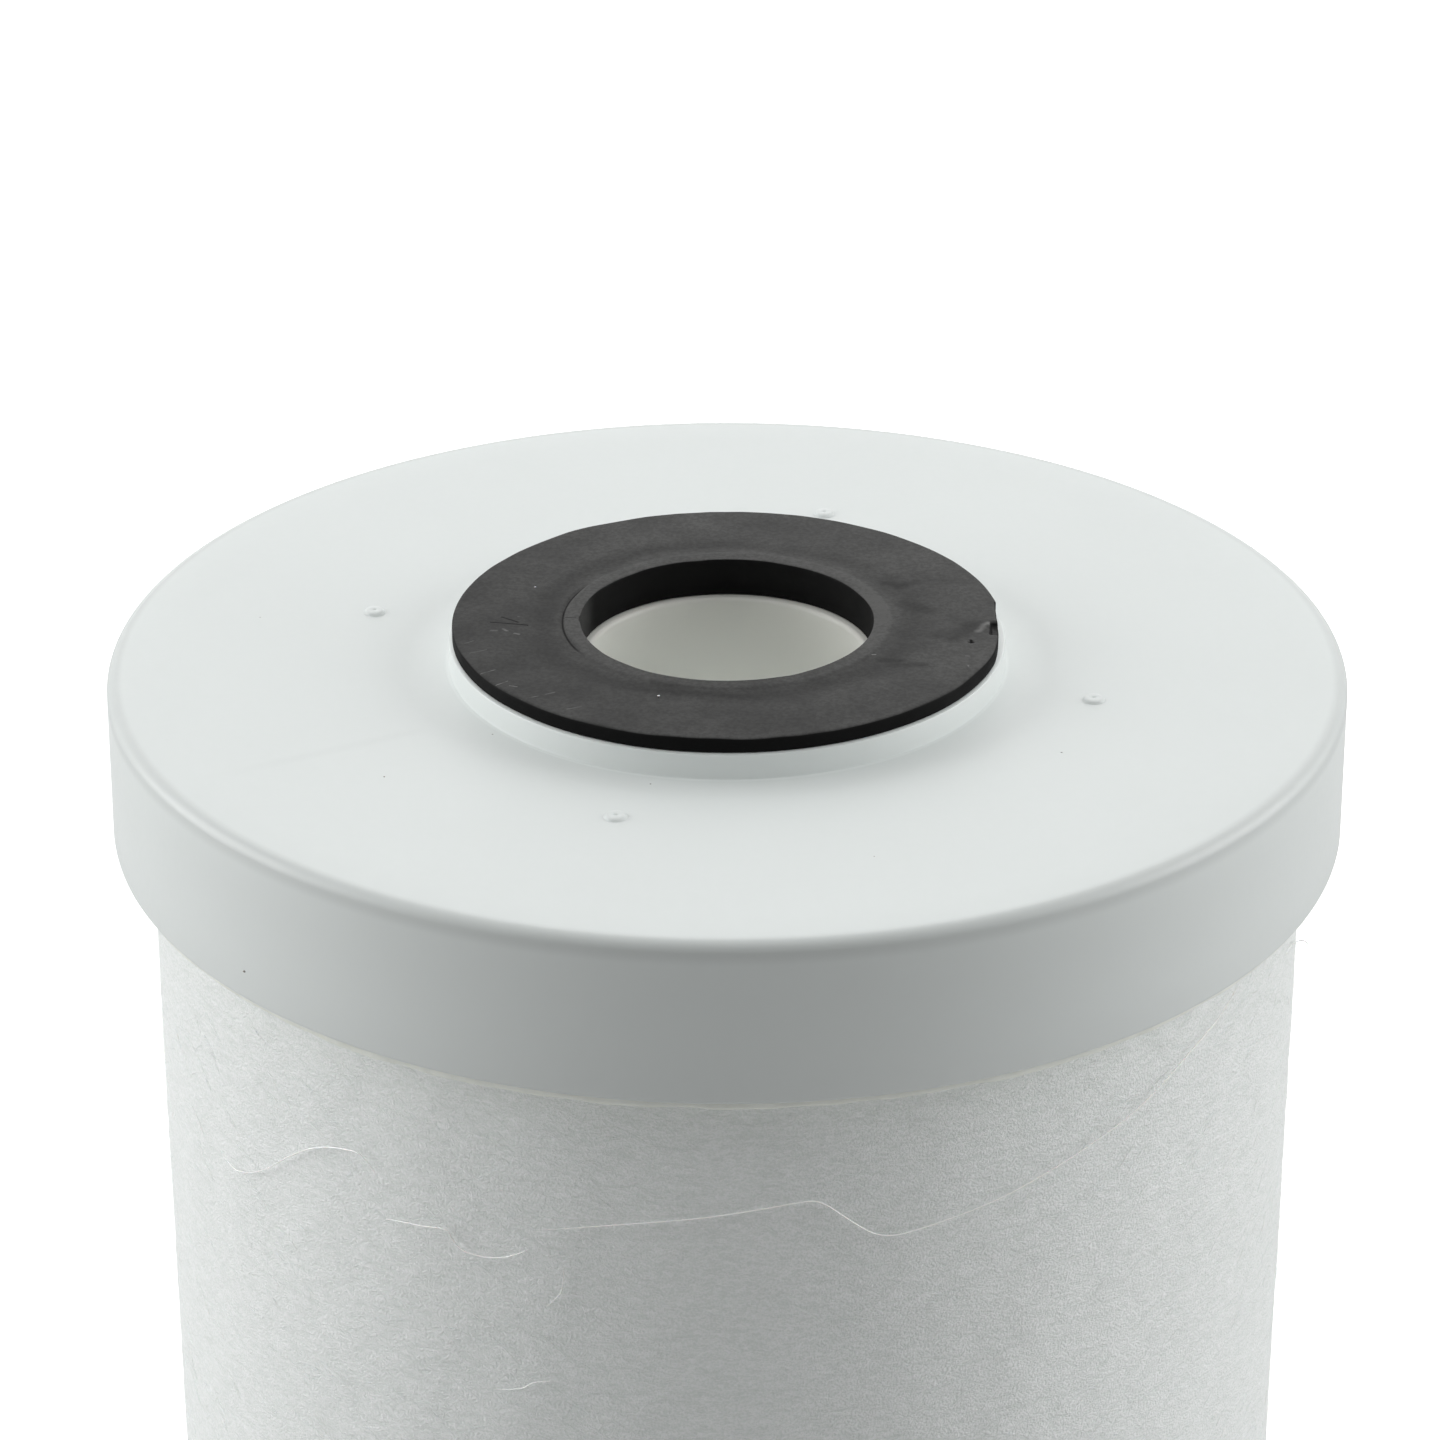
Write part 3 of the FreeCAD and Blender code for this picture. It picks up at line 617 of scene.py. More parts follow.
def needled_felt(name, colours):
    """White felt: short fibres mostly round the body, with soft lumps and a fuzzy edge."""
    graph, place = new_material(name)
    sheet = graph.mapped(place.node.outputs["UV"], (
        FULL_TURN * WRAP_RADIUS / MM, (WRAP_HIGH.z - WRAP_LOW.z) / MM, 1.0))
    wander = graph.add("ShaderNodeTexNoise", {"Vector": sheet, "Scale": 0.7, "Detail": 2.0})
    bent = graph.vector("ADD", sheet, graph.vector("SCALE", wander.outputs["Color"], 1.2))
    weave = 0.0
    for degrees, drawn, scale in FELT_STREAKS:
        field = graph.mapped(bent, (1.0 / drawn, 1.0, 1.0), degrees)
        weave = graph.math("MAXIMUM", graph.noise(field, scale, 3.0, 0.55), weave)
    grain = graph.noise(sheet, 4.2, 2.0, 0.7)
    creases = graph.noise(graph.mapped(bent, (0.22, 1.0, 1.0), CREASE_TURN), 1.7, 4.0, 0.65)
    mixed = graph.ramp(weave, 0.45, 0.75) * 0.38 + (
        graph.ramp(grain, 0.3, 0.7) * 0.36 + graph.ramp(creases, 0.4, 0.76, 1.0, 0.0) * 0.26)
    base = graph.blend(graph.ramp(mixed, 0.2, 0.95), shade(colours.felt, 0.86),
                       shade(colours.felt, 1.06))
    return graph.surface({
        "Base Color": base, "Roughness": 0.95, "IOR": 1.3, "Specular IOR Level": 0.15,
        "Sheen Weight": 0.4, "Sheen Roughness": 0.5}, mixed, 0.14 * MM, 0.8)


def fibre_material(name, tone, gloss=0.5):
    """A thin glossy polymer fibre, a little see-through."""
    graph, place = new_material(name)
    return graph.surface({
        "Base Color": graph.blend(graph.noise(place, 900.0, 1.0), shade(tone, 0.93), tone),
        "Roughness": 0.35, "IOR": 1.6, "Specular IOR Level": gloss,
        "Coat Weight": gloss, "Coat Roughness": 0.25,
        "Sheen Weight": gloss, "Sheen Roughness": 0.4,
        "Subsurface Weight": 0.2, "Subsurface Scale": 0.2 * MM})


def hot_melt(name, colours):
    """Cloudy yellowish glue with a smooth skin."""
    graph, place = new_material(name)
    cloud = graph.noise(place, 420.0)
    return graph.surface({
        "Base Color": graph.blend(graph.ramp(cloud, 0.3, 0.7), shade(colours.glue, 0.9), colours.glue),
        "Roughness": 0.28, "IOR": 1.48,
        "Subsurface Weight": 0.4, "Subsurface Radius": (1.0, 0.95, 0.8),
        "Subsurface Scale": 1.5 * MM}, cloud, 0.05 * MM, 0.5)


def grainy(name, tone, cell, depth, share, roughness):
    """Packed grains or open cells: round cells of that size, with painted shade in the gaps between them.
    """
    graph, place = new_material(name)
    cells = graph.add("ShaderNodeTexVoronoi", {
        "Vector": place, "Scale": 1.0 / cell, "Randomness": 1.0})
    # Painted shade: the gaps between the cells are painted darker and lie lower in the bump; the speckles
    # are random darker tone.
    edge = graph.ramp(cells.outputs["Distance"], 0.25, 0.75)
    dark = shade(tone, share)
    speckle = graph.ramp(graph.noise(place, 2.5 / cell, 2.0), 0.4, 0.7) * 0.3
    base = graph.blend(speckle, graph.blend(edge, tone, dark), dark)
    return graph.surface({"Base Color": base, "Roughness": roughness}, 1.0 - edge, depth, 0.9)


def core_plastic(name, colours):
    """Moulded tube: the cap's plastic, with faint drag lines along the axis."""
    graph, place = new_material(name)
    drag = graph.noise(graph.mapped(place, (1.0, 1.0, 0.04)), 1500.0, 2.0)
    base = graph.blend(drag, shade(colours.cap, 0.95), colours.cap)
    return graph.surface({"Base Color": base, "Roughness": 0.45, "IOR": 1.49},
                         drag, 0.02 * MM, 0.5)


# End caps


def face_depth(sizes, radius):
    """Depth of the slightly dished face below the gasket's face, at a radius."""
    foot = GASKET_RADIUS + sizes.boss_margin
    share = (radius - foot) / (LIP_RADIUS - sizes.skirt_draft - foot)
    return sizes.flange + sizes.boss_height - sizes.rim_rise * share


def cap_outline(sizes):
    """Half section of the cap as radius and depth below the gasket's face, with rounds."""
    face = sizes.flange + sizes.boss_height
    inside = face + sizes.plate_thickness
    lip = TOP - CAP_LOW.z
    boss = GASKET_RADIUS + sizes.boss_margin
    wall = sizes.boss_wall
    ring = SHELL_INSIDE - RING_FIT
    ring_end = inside + sizes.ring_height
    collar = sizes.throat_radius + sizes.collar_wall
    return [
        (sizes.throat_radius, sizes.seat_depth, 0.5 * MM),
        (sizes.seat_radius, sizes.seat_depth, 0.0),
        (sizes.seat_radius, sizes.flange, 0.2 * MM),
        (boss, sizes.flange, 0.25 * MM),
        (boss, face, 0.2 * MM),
        (LIP_RADIUS - sizes.skirt_draft, face - sizes.rim_rise, sizes.rim_round),
        (LIP_RADIUS, lip, 0.5 * MM),
        (SKIRT_INSIDE, lip, 0.25 * MM),
        (SKIRT_INSIDE, inside, INNER_ROUND),
        (ring, inside, 0.0),
        (ring, ring_end, 0.2 * MM),
        (ring - sizes.ring_wall, ring_end, 0.2 * MM),
        (ring - sizes.ring_wall, inside, 0.0),
        (boss - wall, inside, INNER_ROUND),
        (boss - wall, sizes.flange + wall, INNER_ROUND),
        (sizes.seat_radius + wall, sizes.flange + wall, INNER_ROUND),
        (sizes.seat_radius + wall, sizes.seat_depth + wall, INNER_ROUND),
        (collar, sizes.seat_depth + wall, INNER_ROUND),
        (collar, sizes.collar_depth, 0.4 * MM),
        (sizes.throat_radius, sizes.collar_depth, INNER_ROUND),
    ]


def make_end_cap(sizes, colours, side):
    """One moulded cap, turned from its half section."""
    name = side + "_cap_moulding"
    outline = [(across, from_end(depth, side)) for across, depth in rounded_outline(cap_outline(sizes))]
    mesh = grid_mesh(name, *turned_grid(divided(outline, 4.0 * MM), CAP_SEGMENTS))
    finish_mesh(mesh)
    material = cap_plastic(side + "_cap_plastic", colours)
    add_piece(name, mesh, material, [side + "_end_cap"])


# Gate stubs, set out by geometry nodes


# Half section of a stub, as shares of its radius and of its height.
STUB_PROFILE = [(1.12, 0.0), (1.02, 0.15), (0.97, 0.5), (0.86, 0.85), (0.7, 1.0), (0.3, 0.95),
                (0.2, 0.85), (0.12, 0.6), (0.0, 0.6)]


def stub_mesh(sizes):
    """One stub: a low rounded disc with the tip that the gate left in its middle."""
    mesh = bpy.data.meshes.new("gate_stub")
    work = bmesh.new()
    profile = [(0.0, -STUB_ROOT), (sizes.gate_radius * STUB_PROFILE[0][0], -STUB_ROOT)]
    profile += [(sizes.gate_radius * across, sizes.gate_height * up) for across, up in STUB_PROFILE]
    ring = [work.verts.new((across, 0.0, up)) for across, up in profile]
    edges = [work.edges.new(pair) for pair in zip(ring, ring[1:])]
    bmesh.ops.spin(work, geom=ring + edges, cent=(0, 0, 0), axis=(0, 0, 1), angle=FULL_TURN,
                   steps=32, use_duplicate=False)
    bmesh.ops.remove_doubles(work, verts=work.verts, dist=1e-6)
    close_mesh(work, mesh)
    return mesh


def tree_with_inputs(name, **inputs):
    """The graph of a geometry tree with named inputs, and its input node's sockets."""
    tree = bpy.data.node_groups.new(name, "GeometryNodeTree")
    for label, kind in {"Geometry": "Geometry", **inputs}.items():
        tree.interface.new_socket(label, in_out="INPUT", socket_type="NodeSocket" + kind)
    tree.interface.new_socket("Geometry", in_out="OUTPUT", socket_type="NodeSocketGeometry")
    graph = Graph(tree)
    return graph, graph.add("NodeGroupInput").outputs


def close_tree(graph, geometry, material):
    """The tree, ended in real geometry with its material."""
    real = graph.add("GeometryNodeRealizeInstances", {"Geometry": geometry})
    painted = graph.add("GeometryNodeSetMaterial", {
        "Geometry": real.outputs["Geometry"], "Material": material})
    graph.add("NodeGroupOutput", {0: painted.outputs["Geometry"]})
    return graph.tree


def run_tree(tree, mesh, name, **values):
    """The plain mesh that a tree makes from a mesh, with the tree's inputs set by name."""
    holder = add_object(name, mesh)
    modifier = holder.modifiers.new("nodes", "NODES")
    modifier.node_group = tree
    for item in tree.interface.items_tree:
        if item.in_out == "INPUT" and item.name in values:
            modifier[item.identifier] = values[item.name]
    return plain_mesh(holder, name)


def gate_tree():
    """Copies of a stub set out on a circle, each a little different in size and turn."""
    graph, given = tree_with_inputs("set_out_gates", Count="Int", Circle="Float", Turn="Float",
                                    Height="Float", Flip="Float", Seed="Int", Material="Material")
    circle = graph.add("GeometryNodeMeshCircle", {
        "Vertices": given["Count"], "Radius": given["Circle"]}, fill_type="NONE")
    spin = graph.random(given["Seed"], 0.0, FULL_TURN)
    placed = graph.add("GeometryNodeInstanceOnPoints", {
        "Points": circle.outputs["Mesh"], "Instance": given["Geometry"],
        "Rotation": graph.combine(X=given["Flip"], Z=spin),
        "Scale": graph.random(given["Seed"], 0.88, 1.04)})
    moved = graph.add("GeometryNodeTransform", {
        "Geometry": placed.outputs["Instances"], "Translation": graph.combine(Z=given["Height"]),
        "Rotation": graph.combine(Z=given["Turn"])})
    return close_tree(graph, moved.outputs["Geometry"], given["Material"])


def make_gate_stubs(sizes, colours):
    """The stubs on both caps."""
    tree = gate_tree()
    depth = face_depth(sizes, sizes.gate_circle)
    for side, turn, flip in (("top", sizes.gate_turn, 0.0), ("bottom", -sizes.gate_turn, math.pi)):
        name = side + "_gate_stubs"
        material = cap_plastic(side + "_gate_plastic", colours)
        mesh = run_tree(tree, stub_mesh(sizes), name, Count=sizes.gate_count,
                        Circle=sizes.gate_circle, Turn=turn, Height=from_end(depth, side),
                        Flip=flip, Seed=3, Material=material)
        finish_mesh(mesh, 50.0)
        add_piece(name, mesh, material)


# Gaskets


def ripples(across, along, seed, lengths, strength):
    """Soft uneven waves over a level face, from seeded waves that run every way."""
    draw = np.random.default_rng(seed)
    total = np.zeros_like(across)
    for length_mm in lengths:
        for _ in range(7):
            way = draw.uniform(0.0, FULL_TURN)
            pace = FULL_TURN / (length_mm * MM) * draw.uniform(0.7, 1.4)
            run = across * math.cos(way) + along * math.sin(way)
            total += length_mm / lengths[0] * np.sin(pace * run + draw.uniform(0.0, FULL_TURN))
    return strength * total / (7 * len(lengths)) ** 0.5


def eased(value, start, end):
    """0 before the start, 1 past the end, and smooth between; the two may stand either way round."""
    share = np.clip((value - start) / (end - start), 0.0, 1.0)
    return share * share * (3.0 - 2.0 * share)


def gasket_outline(sizes):
    """Half section of the gasket as radius and depth, with rounds."""
    neck = GASKET_BORE + sizes.neck_wall
    return [
        (GASKET_BORE, 0.0, 0.2 * MM),
        (GASKET_RADIUS, 0.0, 0.3 * MM),
        (GASKET_RADIUS, sizes.flange, 0.25 * MM),
        (neck, sizes.flange, 0.0),
        (neck, sizes.neck_end, 0.15 * MM),
        (GASKET_BORE, sizes.neck_end, 0.15 * MM),
    ]


def shape_gasket(sizes, radius, depth, angle, worn):
    """Inner lip, shallow dish and waves, and on the worn one the crease, split, tear and pit."""
    crease = GASKET_BORE + sizes.lip_width
    face = np.clip(1.0 - depth / (0.6 * MM), 0.0, 1.0)
    lip = eased(radius, crease + 0.3 * MM, crease - 0.3 * MM) * 0.07 * MM
    dish = bump_at(radius, 17.0 * MM, 1.4 * MM) * 0.1 * MM
    sunk = 0.08 * MM - lip + dish
    if not worn:
        return radius, depth + face * sunk
    turn = (np.degrees(angle) + 180.0) % 360.0 - 180.0
    across, along = radius * np.cos(angle), radius * np.sin(angle)
    sunk += ripples(across, along, 8, (11.0, 6.0, 3.5), 0.055 * MM)
    left = eased(across, -12.6 * MM, -14.2 * MM)
    sunk += left * bump_at(radius, crease, 0.14 * MM) * 0.22 * MM
    inner = eased(radius, GASKET_BORE + 1.1 * MM, GASKET_BORE)
    radius = radius + inner * bump_at(np.abs(turn), 179.2, 2.2) * 0.14 * MM
    rim = np.clip((radius - 22.8 * MM) / (GASKET_RADIUS - 22.8 * MM), 0.0, 1.0)
    flat = (GASKET_RADIUS - 24.93 * MM / np.cos(np.radians(turn))) * (turn > 0.5) * (turn < 9.4)
    mending = 0.46 * MM * np.clip((turn + 16.0) / 16.5, 0.0, 1.0) * (turn <= 0.5)
    radius = radius - rim * (np.maximum(flat, 0.0) + mending)
    radius = radius + rim * waver(angle, 15, (5, 9, 17), 0.04 * MM)
    sunk += eased(radius, 24.2 * MM, 24.5 * MM) * eased(turn, -1.0, -2.2) * eased(
        turn, -8.2, -7.0) * 0.7 * MM
    across, along = radius * np.cos(angle), radius * np.sin(angle)
    flap = np.hypot(across - 23.7 * MM, along + 1.45 * MM)
    sunk -= np.exp(-(flap / (0.6 * MM)) ** 2) * 0.14 * MM
    sunk += bump_at(turn, -6.5, 5.0) * bump_at(radius, 22.6 * MM, 1.2 * MM) * 0.14 * MM
    pit = np.hypot(across - 22.3 * MM, along + 4.9 * MM)
    sunk += np.exp(-(pit / (0.2 * MM)) ** 2) * 0.4 * MM
    return radius, depth + face * sunk


def make_gasket(sizes, colours, side):
    """One rubber gasket; the upper one is worn as it lies in view."""
    name = side + "_gasket_ring"
    worn = side == "top"
    outline = divided(rounded_outline(gasket_outline(sizes), 0.08 * MM), 1.2 * MM,
                      0.16 * MM if worn else 0.8 * MM)
    radius, depth, angle = turned_grid(outline, 720 if worn else 240)
    radius, depth = shape_gasket(sizes, radius, depth, angle, worn)
    mesh = grid_mesh(name, radius, from_end(np.maximum(depth, 0.0), side), angle)
    finish_mesh(mesh, 60.0)
    material = gasket_rubber(side + "_gasket_rubber", colours, worn)
    add_piece(name, mesh, material, [side + "_gasket"])


# Felt


def lap_height(sizes, angle):
    """Rise of the lap at the back: a crisp cut end on one side, faded out on the other."""
    aside = (angle - math.pi / 2.0) * WRAP_RADIUS
    half = sizes.lap_width / 2.0
    edge = 1.0 / (1.0 + np.exp(-(aside + half) / (0.12 * MM)))
    fade = np.clip((half - aside) / (half * 1.2), 0.0, 1.0)
    return sizes.lap_rise * edge * fade * fade * (3.0 - 2.0 * fade)


def lumps(angle, height, seed, sizes_mm, strength):
    """Soft uneven lumps on a cylinder, from seeded waves round and along it."""
    draw = np.random.default_rng(seed)
    total = np.zeros_like(angle)
    for size in sizes_mm:
        for _ in range(6):
            waves = round(FULL_TURN * WRAP_RADIUS / (size * MM) * draw.uniform(0.4, 1.0))
            along = draw.uniform(-1.0, 1.0) * FULL_TURN / (size * MM)
            total += np.sin(waves * angle + along * height + draw.uniform(0.0, FULL_TURN))
    return strength * total / (6 * len(sizes_mm)) ** 0.5


def make_felt_wrap(sizes, colours):
    """The rolled felt: soft lumps on its outside, and the lap along the back."""
    inside = WRAP_RADIUS - sizes.felt_thickness
    low, high = WRAP_LOW.z, WRAP_HIGH.z
    outside = [(WRAP_RADIUS, up) for up in np.linspace(low, high, 170)]
    grids = turned_grid(outside + [(inside, high), (inside, low)], FELT_SEGMENTS)
    radius, height, angle = (np.roll(part, FELT_SEGMENTS // 4, axis=0) for part in grids)
    skin = np.zeros_like(radius)
    skin[:, :len(outside)] = 1.0
    relief = lumps(angle, height, 21, (22.0, 9.0, 4.0), sizes.felt_relief * 0.4)
    shown = np.clip((height - LUMPS_LOW) / LUMPS_FADE, 0.0, 1.0) * np.clip(
        (LUMPS_HIGH - height) / LUMPS_FADE, 0.0, 1.0)
    radius = radius + skin * (lap_height(sizes, angle) + relief * shown)
    mesh = grid_mesh("felt_sleeve", radius, height, angle)
    unwrap_felt(mesh)
    finish_mesh(mesh, 50.0)
    material = needled_felt("needled_felt", colours)
    sleeve = add_piece("felt_sleeve", mesh, material, ["outer_wrap"])


def unwrap_felt(mesh):
    """Lays the sleeve out flat, with the seam at the cut end of the lap."""
    layer = mesh.uv_layers.new(name="felt")
    spots = np.empty(len(mesh.vertices) * 3)
    mesh.vertices.foreach_get("co", spots)
    spots = spots.reshape(-1, 3)
    corner = np.empty(len(mesh.loops), dtype=int)
    mesh.loops.foreach_get("vertex_index", corner)
    around = (np.arctan2(spots[:, 1], spots[:, 0]) - math.pi / 2.0) / FULL_TURN % 1.0
    up = (spots[:, 2] - WRAP_LOW.z) / (WRAP_HIGH.z - WRAP_LOW.z)
    across = around[corner].reshape(-1, 4)
    crossing = across.max(axis=1) - across.min(axis=1) > 0.5
    across[crossing] = np.where(across[crossing] < 0.5, across[crossing] + 1.0, across[crossing])
    flat = np.stack([across.reshape(-1), up[corner]], axis=-1)
    layer.data.foreach_set("uv", flat.reshape(-1))


def fuzz_tree():
    """Short curved fibres scattered on a surface, most of them lying round the body."""
    graph, given = tree_with_inputs("felt_fuzz", Density="Float", Length="Float", Radius="Float",
                                    Seed="Int", Material="Material")
    seed = given["Seed"]
    scatter = graph.add("GeometryNodeDistributePointsOnFaces", {
        "Mesh": given["Geometry"], "Density": given["Density"], "Seed": seed})
    round_body = graph.vector("CROSS_PRODUCT", (0.0, 0.0, 1.0), scatter.outputs["Normal"])
    laid = graph.add("FunctionNodeAlignRotationToVector", {
        "Rotation": scatter.outputs["Rotation"], "Vector": round_body}, axis="X", pivot_axis="Z")
    lean = graph.random(seed, (-0.5, -0.035, -0.75), (0.5, 0.035, 0.75), "FLOAT_VECTOR")
    spun = graph.add("FunctionNodeRotateRotation", {
        "Rotation": laid.outputs[0], "Rotate By": lean}, rotation_space="LOCAL")
    half = graph.math("MULTIPLY", given["Length"], 0.5)
    curve = graph.add("GeometryNodeCurveQuadraticBezier", {
        "Resolution": 4, "Start": graph.combine(X=half * -1.0),
        "Middle": graph.combine(Y=half * 0.35, Z=half * 0.08), "End": graph.combine(X=half)})
    ring = graph.add("GeometryNodeCurvePrimitiveCircle", {"Resolution": 3, "Radius": given["Radius"]})
    tube = graph.add("GeometryNodeCurveToMesh", {
        "Curve": curve.outputs["Curve"], "Profile Curve": ring.outputs["Curve"]})
    placed = graph.add("GeometryNodeInstanceOnPoints", {
        "Points": scatter.outputs["Points"], "Instance": tube.outputs["Mesh"],
        "Rotation": spun.outputs[0],
        "Scale": graph.combine(X=graph.random(seed, 0.45, 1.35), Y=1.0, Z=1.0)})
    return close_tree(graph, placed.outputs["Instances"], given["Material"])


def make_felt_fuzz(sizes, colours):
    """The felt's short surface fibres, as one mesh."""
    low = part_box("bottom_outer_bond")[1].z + FUZZ_MARGIN
    high = BOND_LOW.z - FUZZ_MARGIN
    bpy.ops.mesh.primitive_cylinder_add(vertices=180, radius=WRAP_RADIUS + 0.02 * MM,
                                        depth=high - low, end_fill_type="NOTHING",
                                        location=(0.0, 0.0, (low + high) / 2.0))
    skin = bpy.context.object
    skin.data.transform(skin.matrix_world)
    base = skin.data.copy()
    bpy.data.objects.remove(skin)
    area = FULL_TURN * WRAP_RADIUS * (high - low)
    material = fibre_material("felt_fibre", colours.felt)
    mesh = run_tree(fuzz_tree(), base, "felt_fuzz", Density=sizes.fuzz_count / area,
                    Length=sizes.fuzz_length, Radius=sizes.fuzz_radius, Seed=11, Material=material)
    mesh.shade_smooth()
    add_piece("felt_fuzz", mesh, material)


# Long loose fibres, as pixel points of the 1440 by 1440 view, laid on the felt that they cross.
PICTURE = 1440.0
FIBRES = {
    "loose_fibre_long": [
        (542, 1230), (576, 1228), (647, 1223), (700, 1219), (760, 1210), (797, 1203),
        (820, 1200), (847, 1219), (881, 1239), (923, 1229), (995, 1202), (1049, 1172),
        (1091, 1145), (1133, 1114), (1163, 1084), (1197, 1044), (1226, 1010), (1239, 983)],
    "loose_fibre_loop": [
        (386, 1219), (404, 1222), (420, 1226), (447, 1229), (450, 1235), (456, 1245),
        (466, 1253), (491, 1259), (515, 1256), (527, 1250)],
    "loose_fibre_left": [
        (220, 1149), (230, 1168), (247, 1174), (266, 1170), (285, 1158), (315, 1146),
        (348, 1149), (365, 1156), (376, 1175)],
    "loose_fibre_low": [(491, 1389), (521, 1391), (533, 1381), (552, 1381)],
    "loose_fibre_hook": [(546, 1307), (558, 1297), (563, 1290), (564, 1268)],
    "loose_fibre_right": [(1286, 955), (1290, 946), (1299, 940), (1307, 941), (1311, 950)],
}


def camera_place(studio, sizes):
    """Where the camera stands."""
    face = TOP - sizes.flange - sizes.boss_height
    return Vector((0.0, -studio.camera_distance * math.cos(studio.camera_elevation),
                   face + studio.camera_distance * math.sin(studio.camera_elevation)))


def camera_turn(studio):
    """How the camera is turned."""
    return Matrix.Rotation(studio.camera_turn, 3, "Z") @ Matrix.Rotation(
        math.pi / 2.0 - studio.camera_pitch, 3, "X")


def on_felt(pixel, lift, studio, sizes):
    """The point just off the felt that shows at that pixel of the view."""
    scale = SENSOR / studio.camera_lens / PICTURE
    ray = camera_turn(studio) @ Vector(((pixel[0] - PICTURE / 2.0) * scale,
                                        (PICTURE / 2.0 - pixel[1]) * scale, -1.0))
    start = camera_place(studio, sizes)
    a = ray.x ** 2 + ray.y ** 2
    b = start.x * ray.x + start.y * ray.y
    c = start.x ** 2 + start.y ** 2 - (WRAP_RADIUS + lift) ** 2
    return start + ray * ((-b - math.sqrt(max(b * b - a * c, 0.0))) / a)


def fibre_mesh(name, points, radius):
    """A thin smooth fibre through points, finer at its ends."""
    curve = bpy.data.curves.new(name, "CURVE")
    curve.dimensions = "3D"
    curve.bevel_depth = radius
    curve.bevel_resolution = 1
    curve.resolution_u = 6
    curve.use_fill_caps = True
    spline = curve.splines.new("NURBS")
    spline.points.add(len(points) - 1)
    for index, point in enumerate(points):
        end = min(index, len(points) - 1 - index)
        spline.points[index].co = (*point, 1.0)
        spline.points[index].radius = (0.35, 0.8, 1.0)[min(end, 2)]
    spline.order_u = 3
    spline.use_endpoint_u = True
    mesh = plain_mesh(add_object(name, curve), name)
    mesh.shade_smooth()
    return mesh


def make_loose_fibres(sizes, studio):
    """The long fibres that have come loose from the felt."""
    material = fibre_material("loose_fibre", (1.0, 1.0, 0.98), 1.0)
    draw = np.random.default_rng(4)
    for name, pixels in FIBRES.items():
        points = [on_felt(pixel, sizes.fibre_radius * draw.uniform(7.0, 9.5), studio, sizes)
                  for pixel in pixels]
        add_piece(name, fibre_mesh(name, points, sizes.fibre_radius), material)


# Hot melt


def make_outer_bond(sizes, colours, side):
    """Glue round the ends of shell and felt, with its uneven bead below the skirt's lip."""
    name = side + "_glue_ring"
    segments, seed = (720, 31) if side == "top" else (480, 47)
    inside_plate = sizes.flange + sizes.boss_height + sizes.plate_thickness
    bead_end = TOP - BOND_LOW.z
    body_end = TOP - WRAP_HIGH.z
    skirt_end = TOP - CAP_LOW.z
    lip = skirt_end + 0.02 * MM
    spread = SKIRT_INSIDE + sizes.bead_spread
    outline = divided(rounded_outline([
        (SHELL_INSIDE, inside_plate, 0.0), (SKIRT_INSIDE, inside_plate, 0.0),
        (SKIRT_INSIDE, lip, 0.0), (spread, lip, 0.0), (spread, lip + 0.5 * MM, 0.25 * MM),
        (SKIRT_INSIDE - 0.5 * MM, bead_end + 0.1 * MM, 0.6 * MM), (WRAP_RADIUS, bead_end, 0.0),
        (WRAP_RADIUS, body_end, 0.0), (SHELL_INSIDE, body_end, 0.0)]), 1.6 * MM)
    radius, depth, angle = turned_grid(outline, segments)
    below = np.clip((depth - skirt_end + 0.1 * MM) / (bead_end - skirt_end), 0.0, 1.0)
    uneven = waver(angle, seed, (3, 7, 11, 17, 29, 43, 71)) * 2.2
    depth = depth + below * sizes.bead_waver * uneven
    beside = (np.abs(radius - WRAP_RADIUS) < 0.01 * MM) & (depth > body_end)
    radius = np.where(beside, radius - 0.02 * MM + np.maximum(0.0, lap_height(sizes, angle)), radius)
    at_lap = (np.abs(angle - math.pi / 2.0) < 0.16) & beside
    radius = np.where(at_lap, WRAP_RADIUS + sizes.lap_rise + 0.05 * MM, radius)
    mesh = grid_mesh(name, radius, from_end(depth, side), angle)
    finish_mesh(mesh, 45.0)
    add_piece(name, mesh, hot_melt(side + "_hot_melt", colours), [side + "_outer_bond"])


# Inner pieces, which keep their CAD meshes


def paint_node(node, material):
    """Gives a CAD node its material."""
    paint(frame["nodes"][node].data, material)


def paint_inner_pieces(colours):
    """Materials for all that the caps and the felt hide."""
    paint_node("porous_shell", grainy("porous_plastic", colours.porous, 0.5 * MM,
                                      0.15 * MM, 0.75, 0.7))
    paint_node("carbon_bed", grainy("carbon_grains", colours.carbon, 1.4 * MM,
                                    0.6 * MM, 0.4, 0.6))
    paint_node("inner_felt_sleeve", grainy("sleeve_felt", colours.felt, 0.35 * MM,
                                           0.08 * MM, 0.85, 0.95))
    paint_node("core_tube", core_plastic("core_plastic", colours))
    foam = grainy("bed_foam", colours.foam, 0.8 * MM, 0.3 * MM, 0.6, 0.85)
    glue = hot_melt("inner_hot_melt", colours)
    for side in SIDES:
        paint_node(side + "_bed_pad", foam)
        paint_node(side + "_inner_bond", glue)


# Specks of dust, as x, y and depth below the gasket's face in millimetres, with the size across.
# Those on the cap's face have no depth of their own.
CAP_SPECKS = [(-30.1, -25.7, None, 0.21), (29.7, -20.6, None, 0.18), (12.5, -41.0, None, 0.14),
              (-44.0, 8.0, None, 0.12), (-21.0, -16.6, None, 0.16), (-6.7, -26.6, None, 0.18),
              (-41.6, -39.3, 15.7, 0.42)]
GASKET_SPECKS = [(-18.0, 7.2, 0.1, 0.19), (-6.1, -16.6, 0.1, 0.2)]


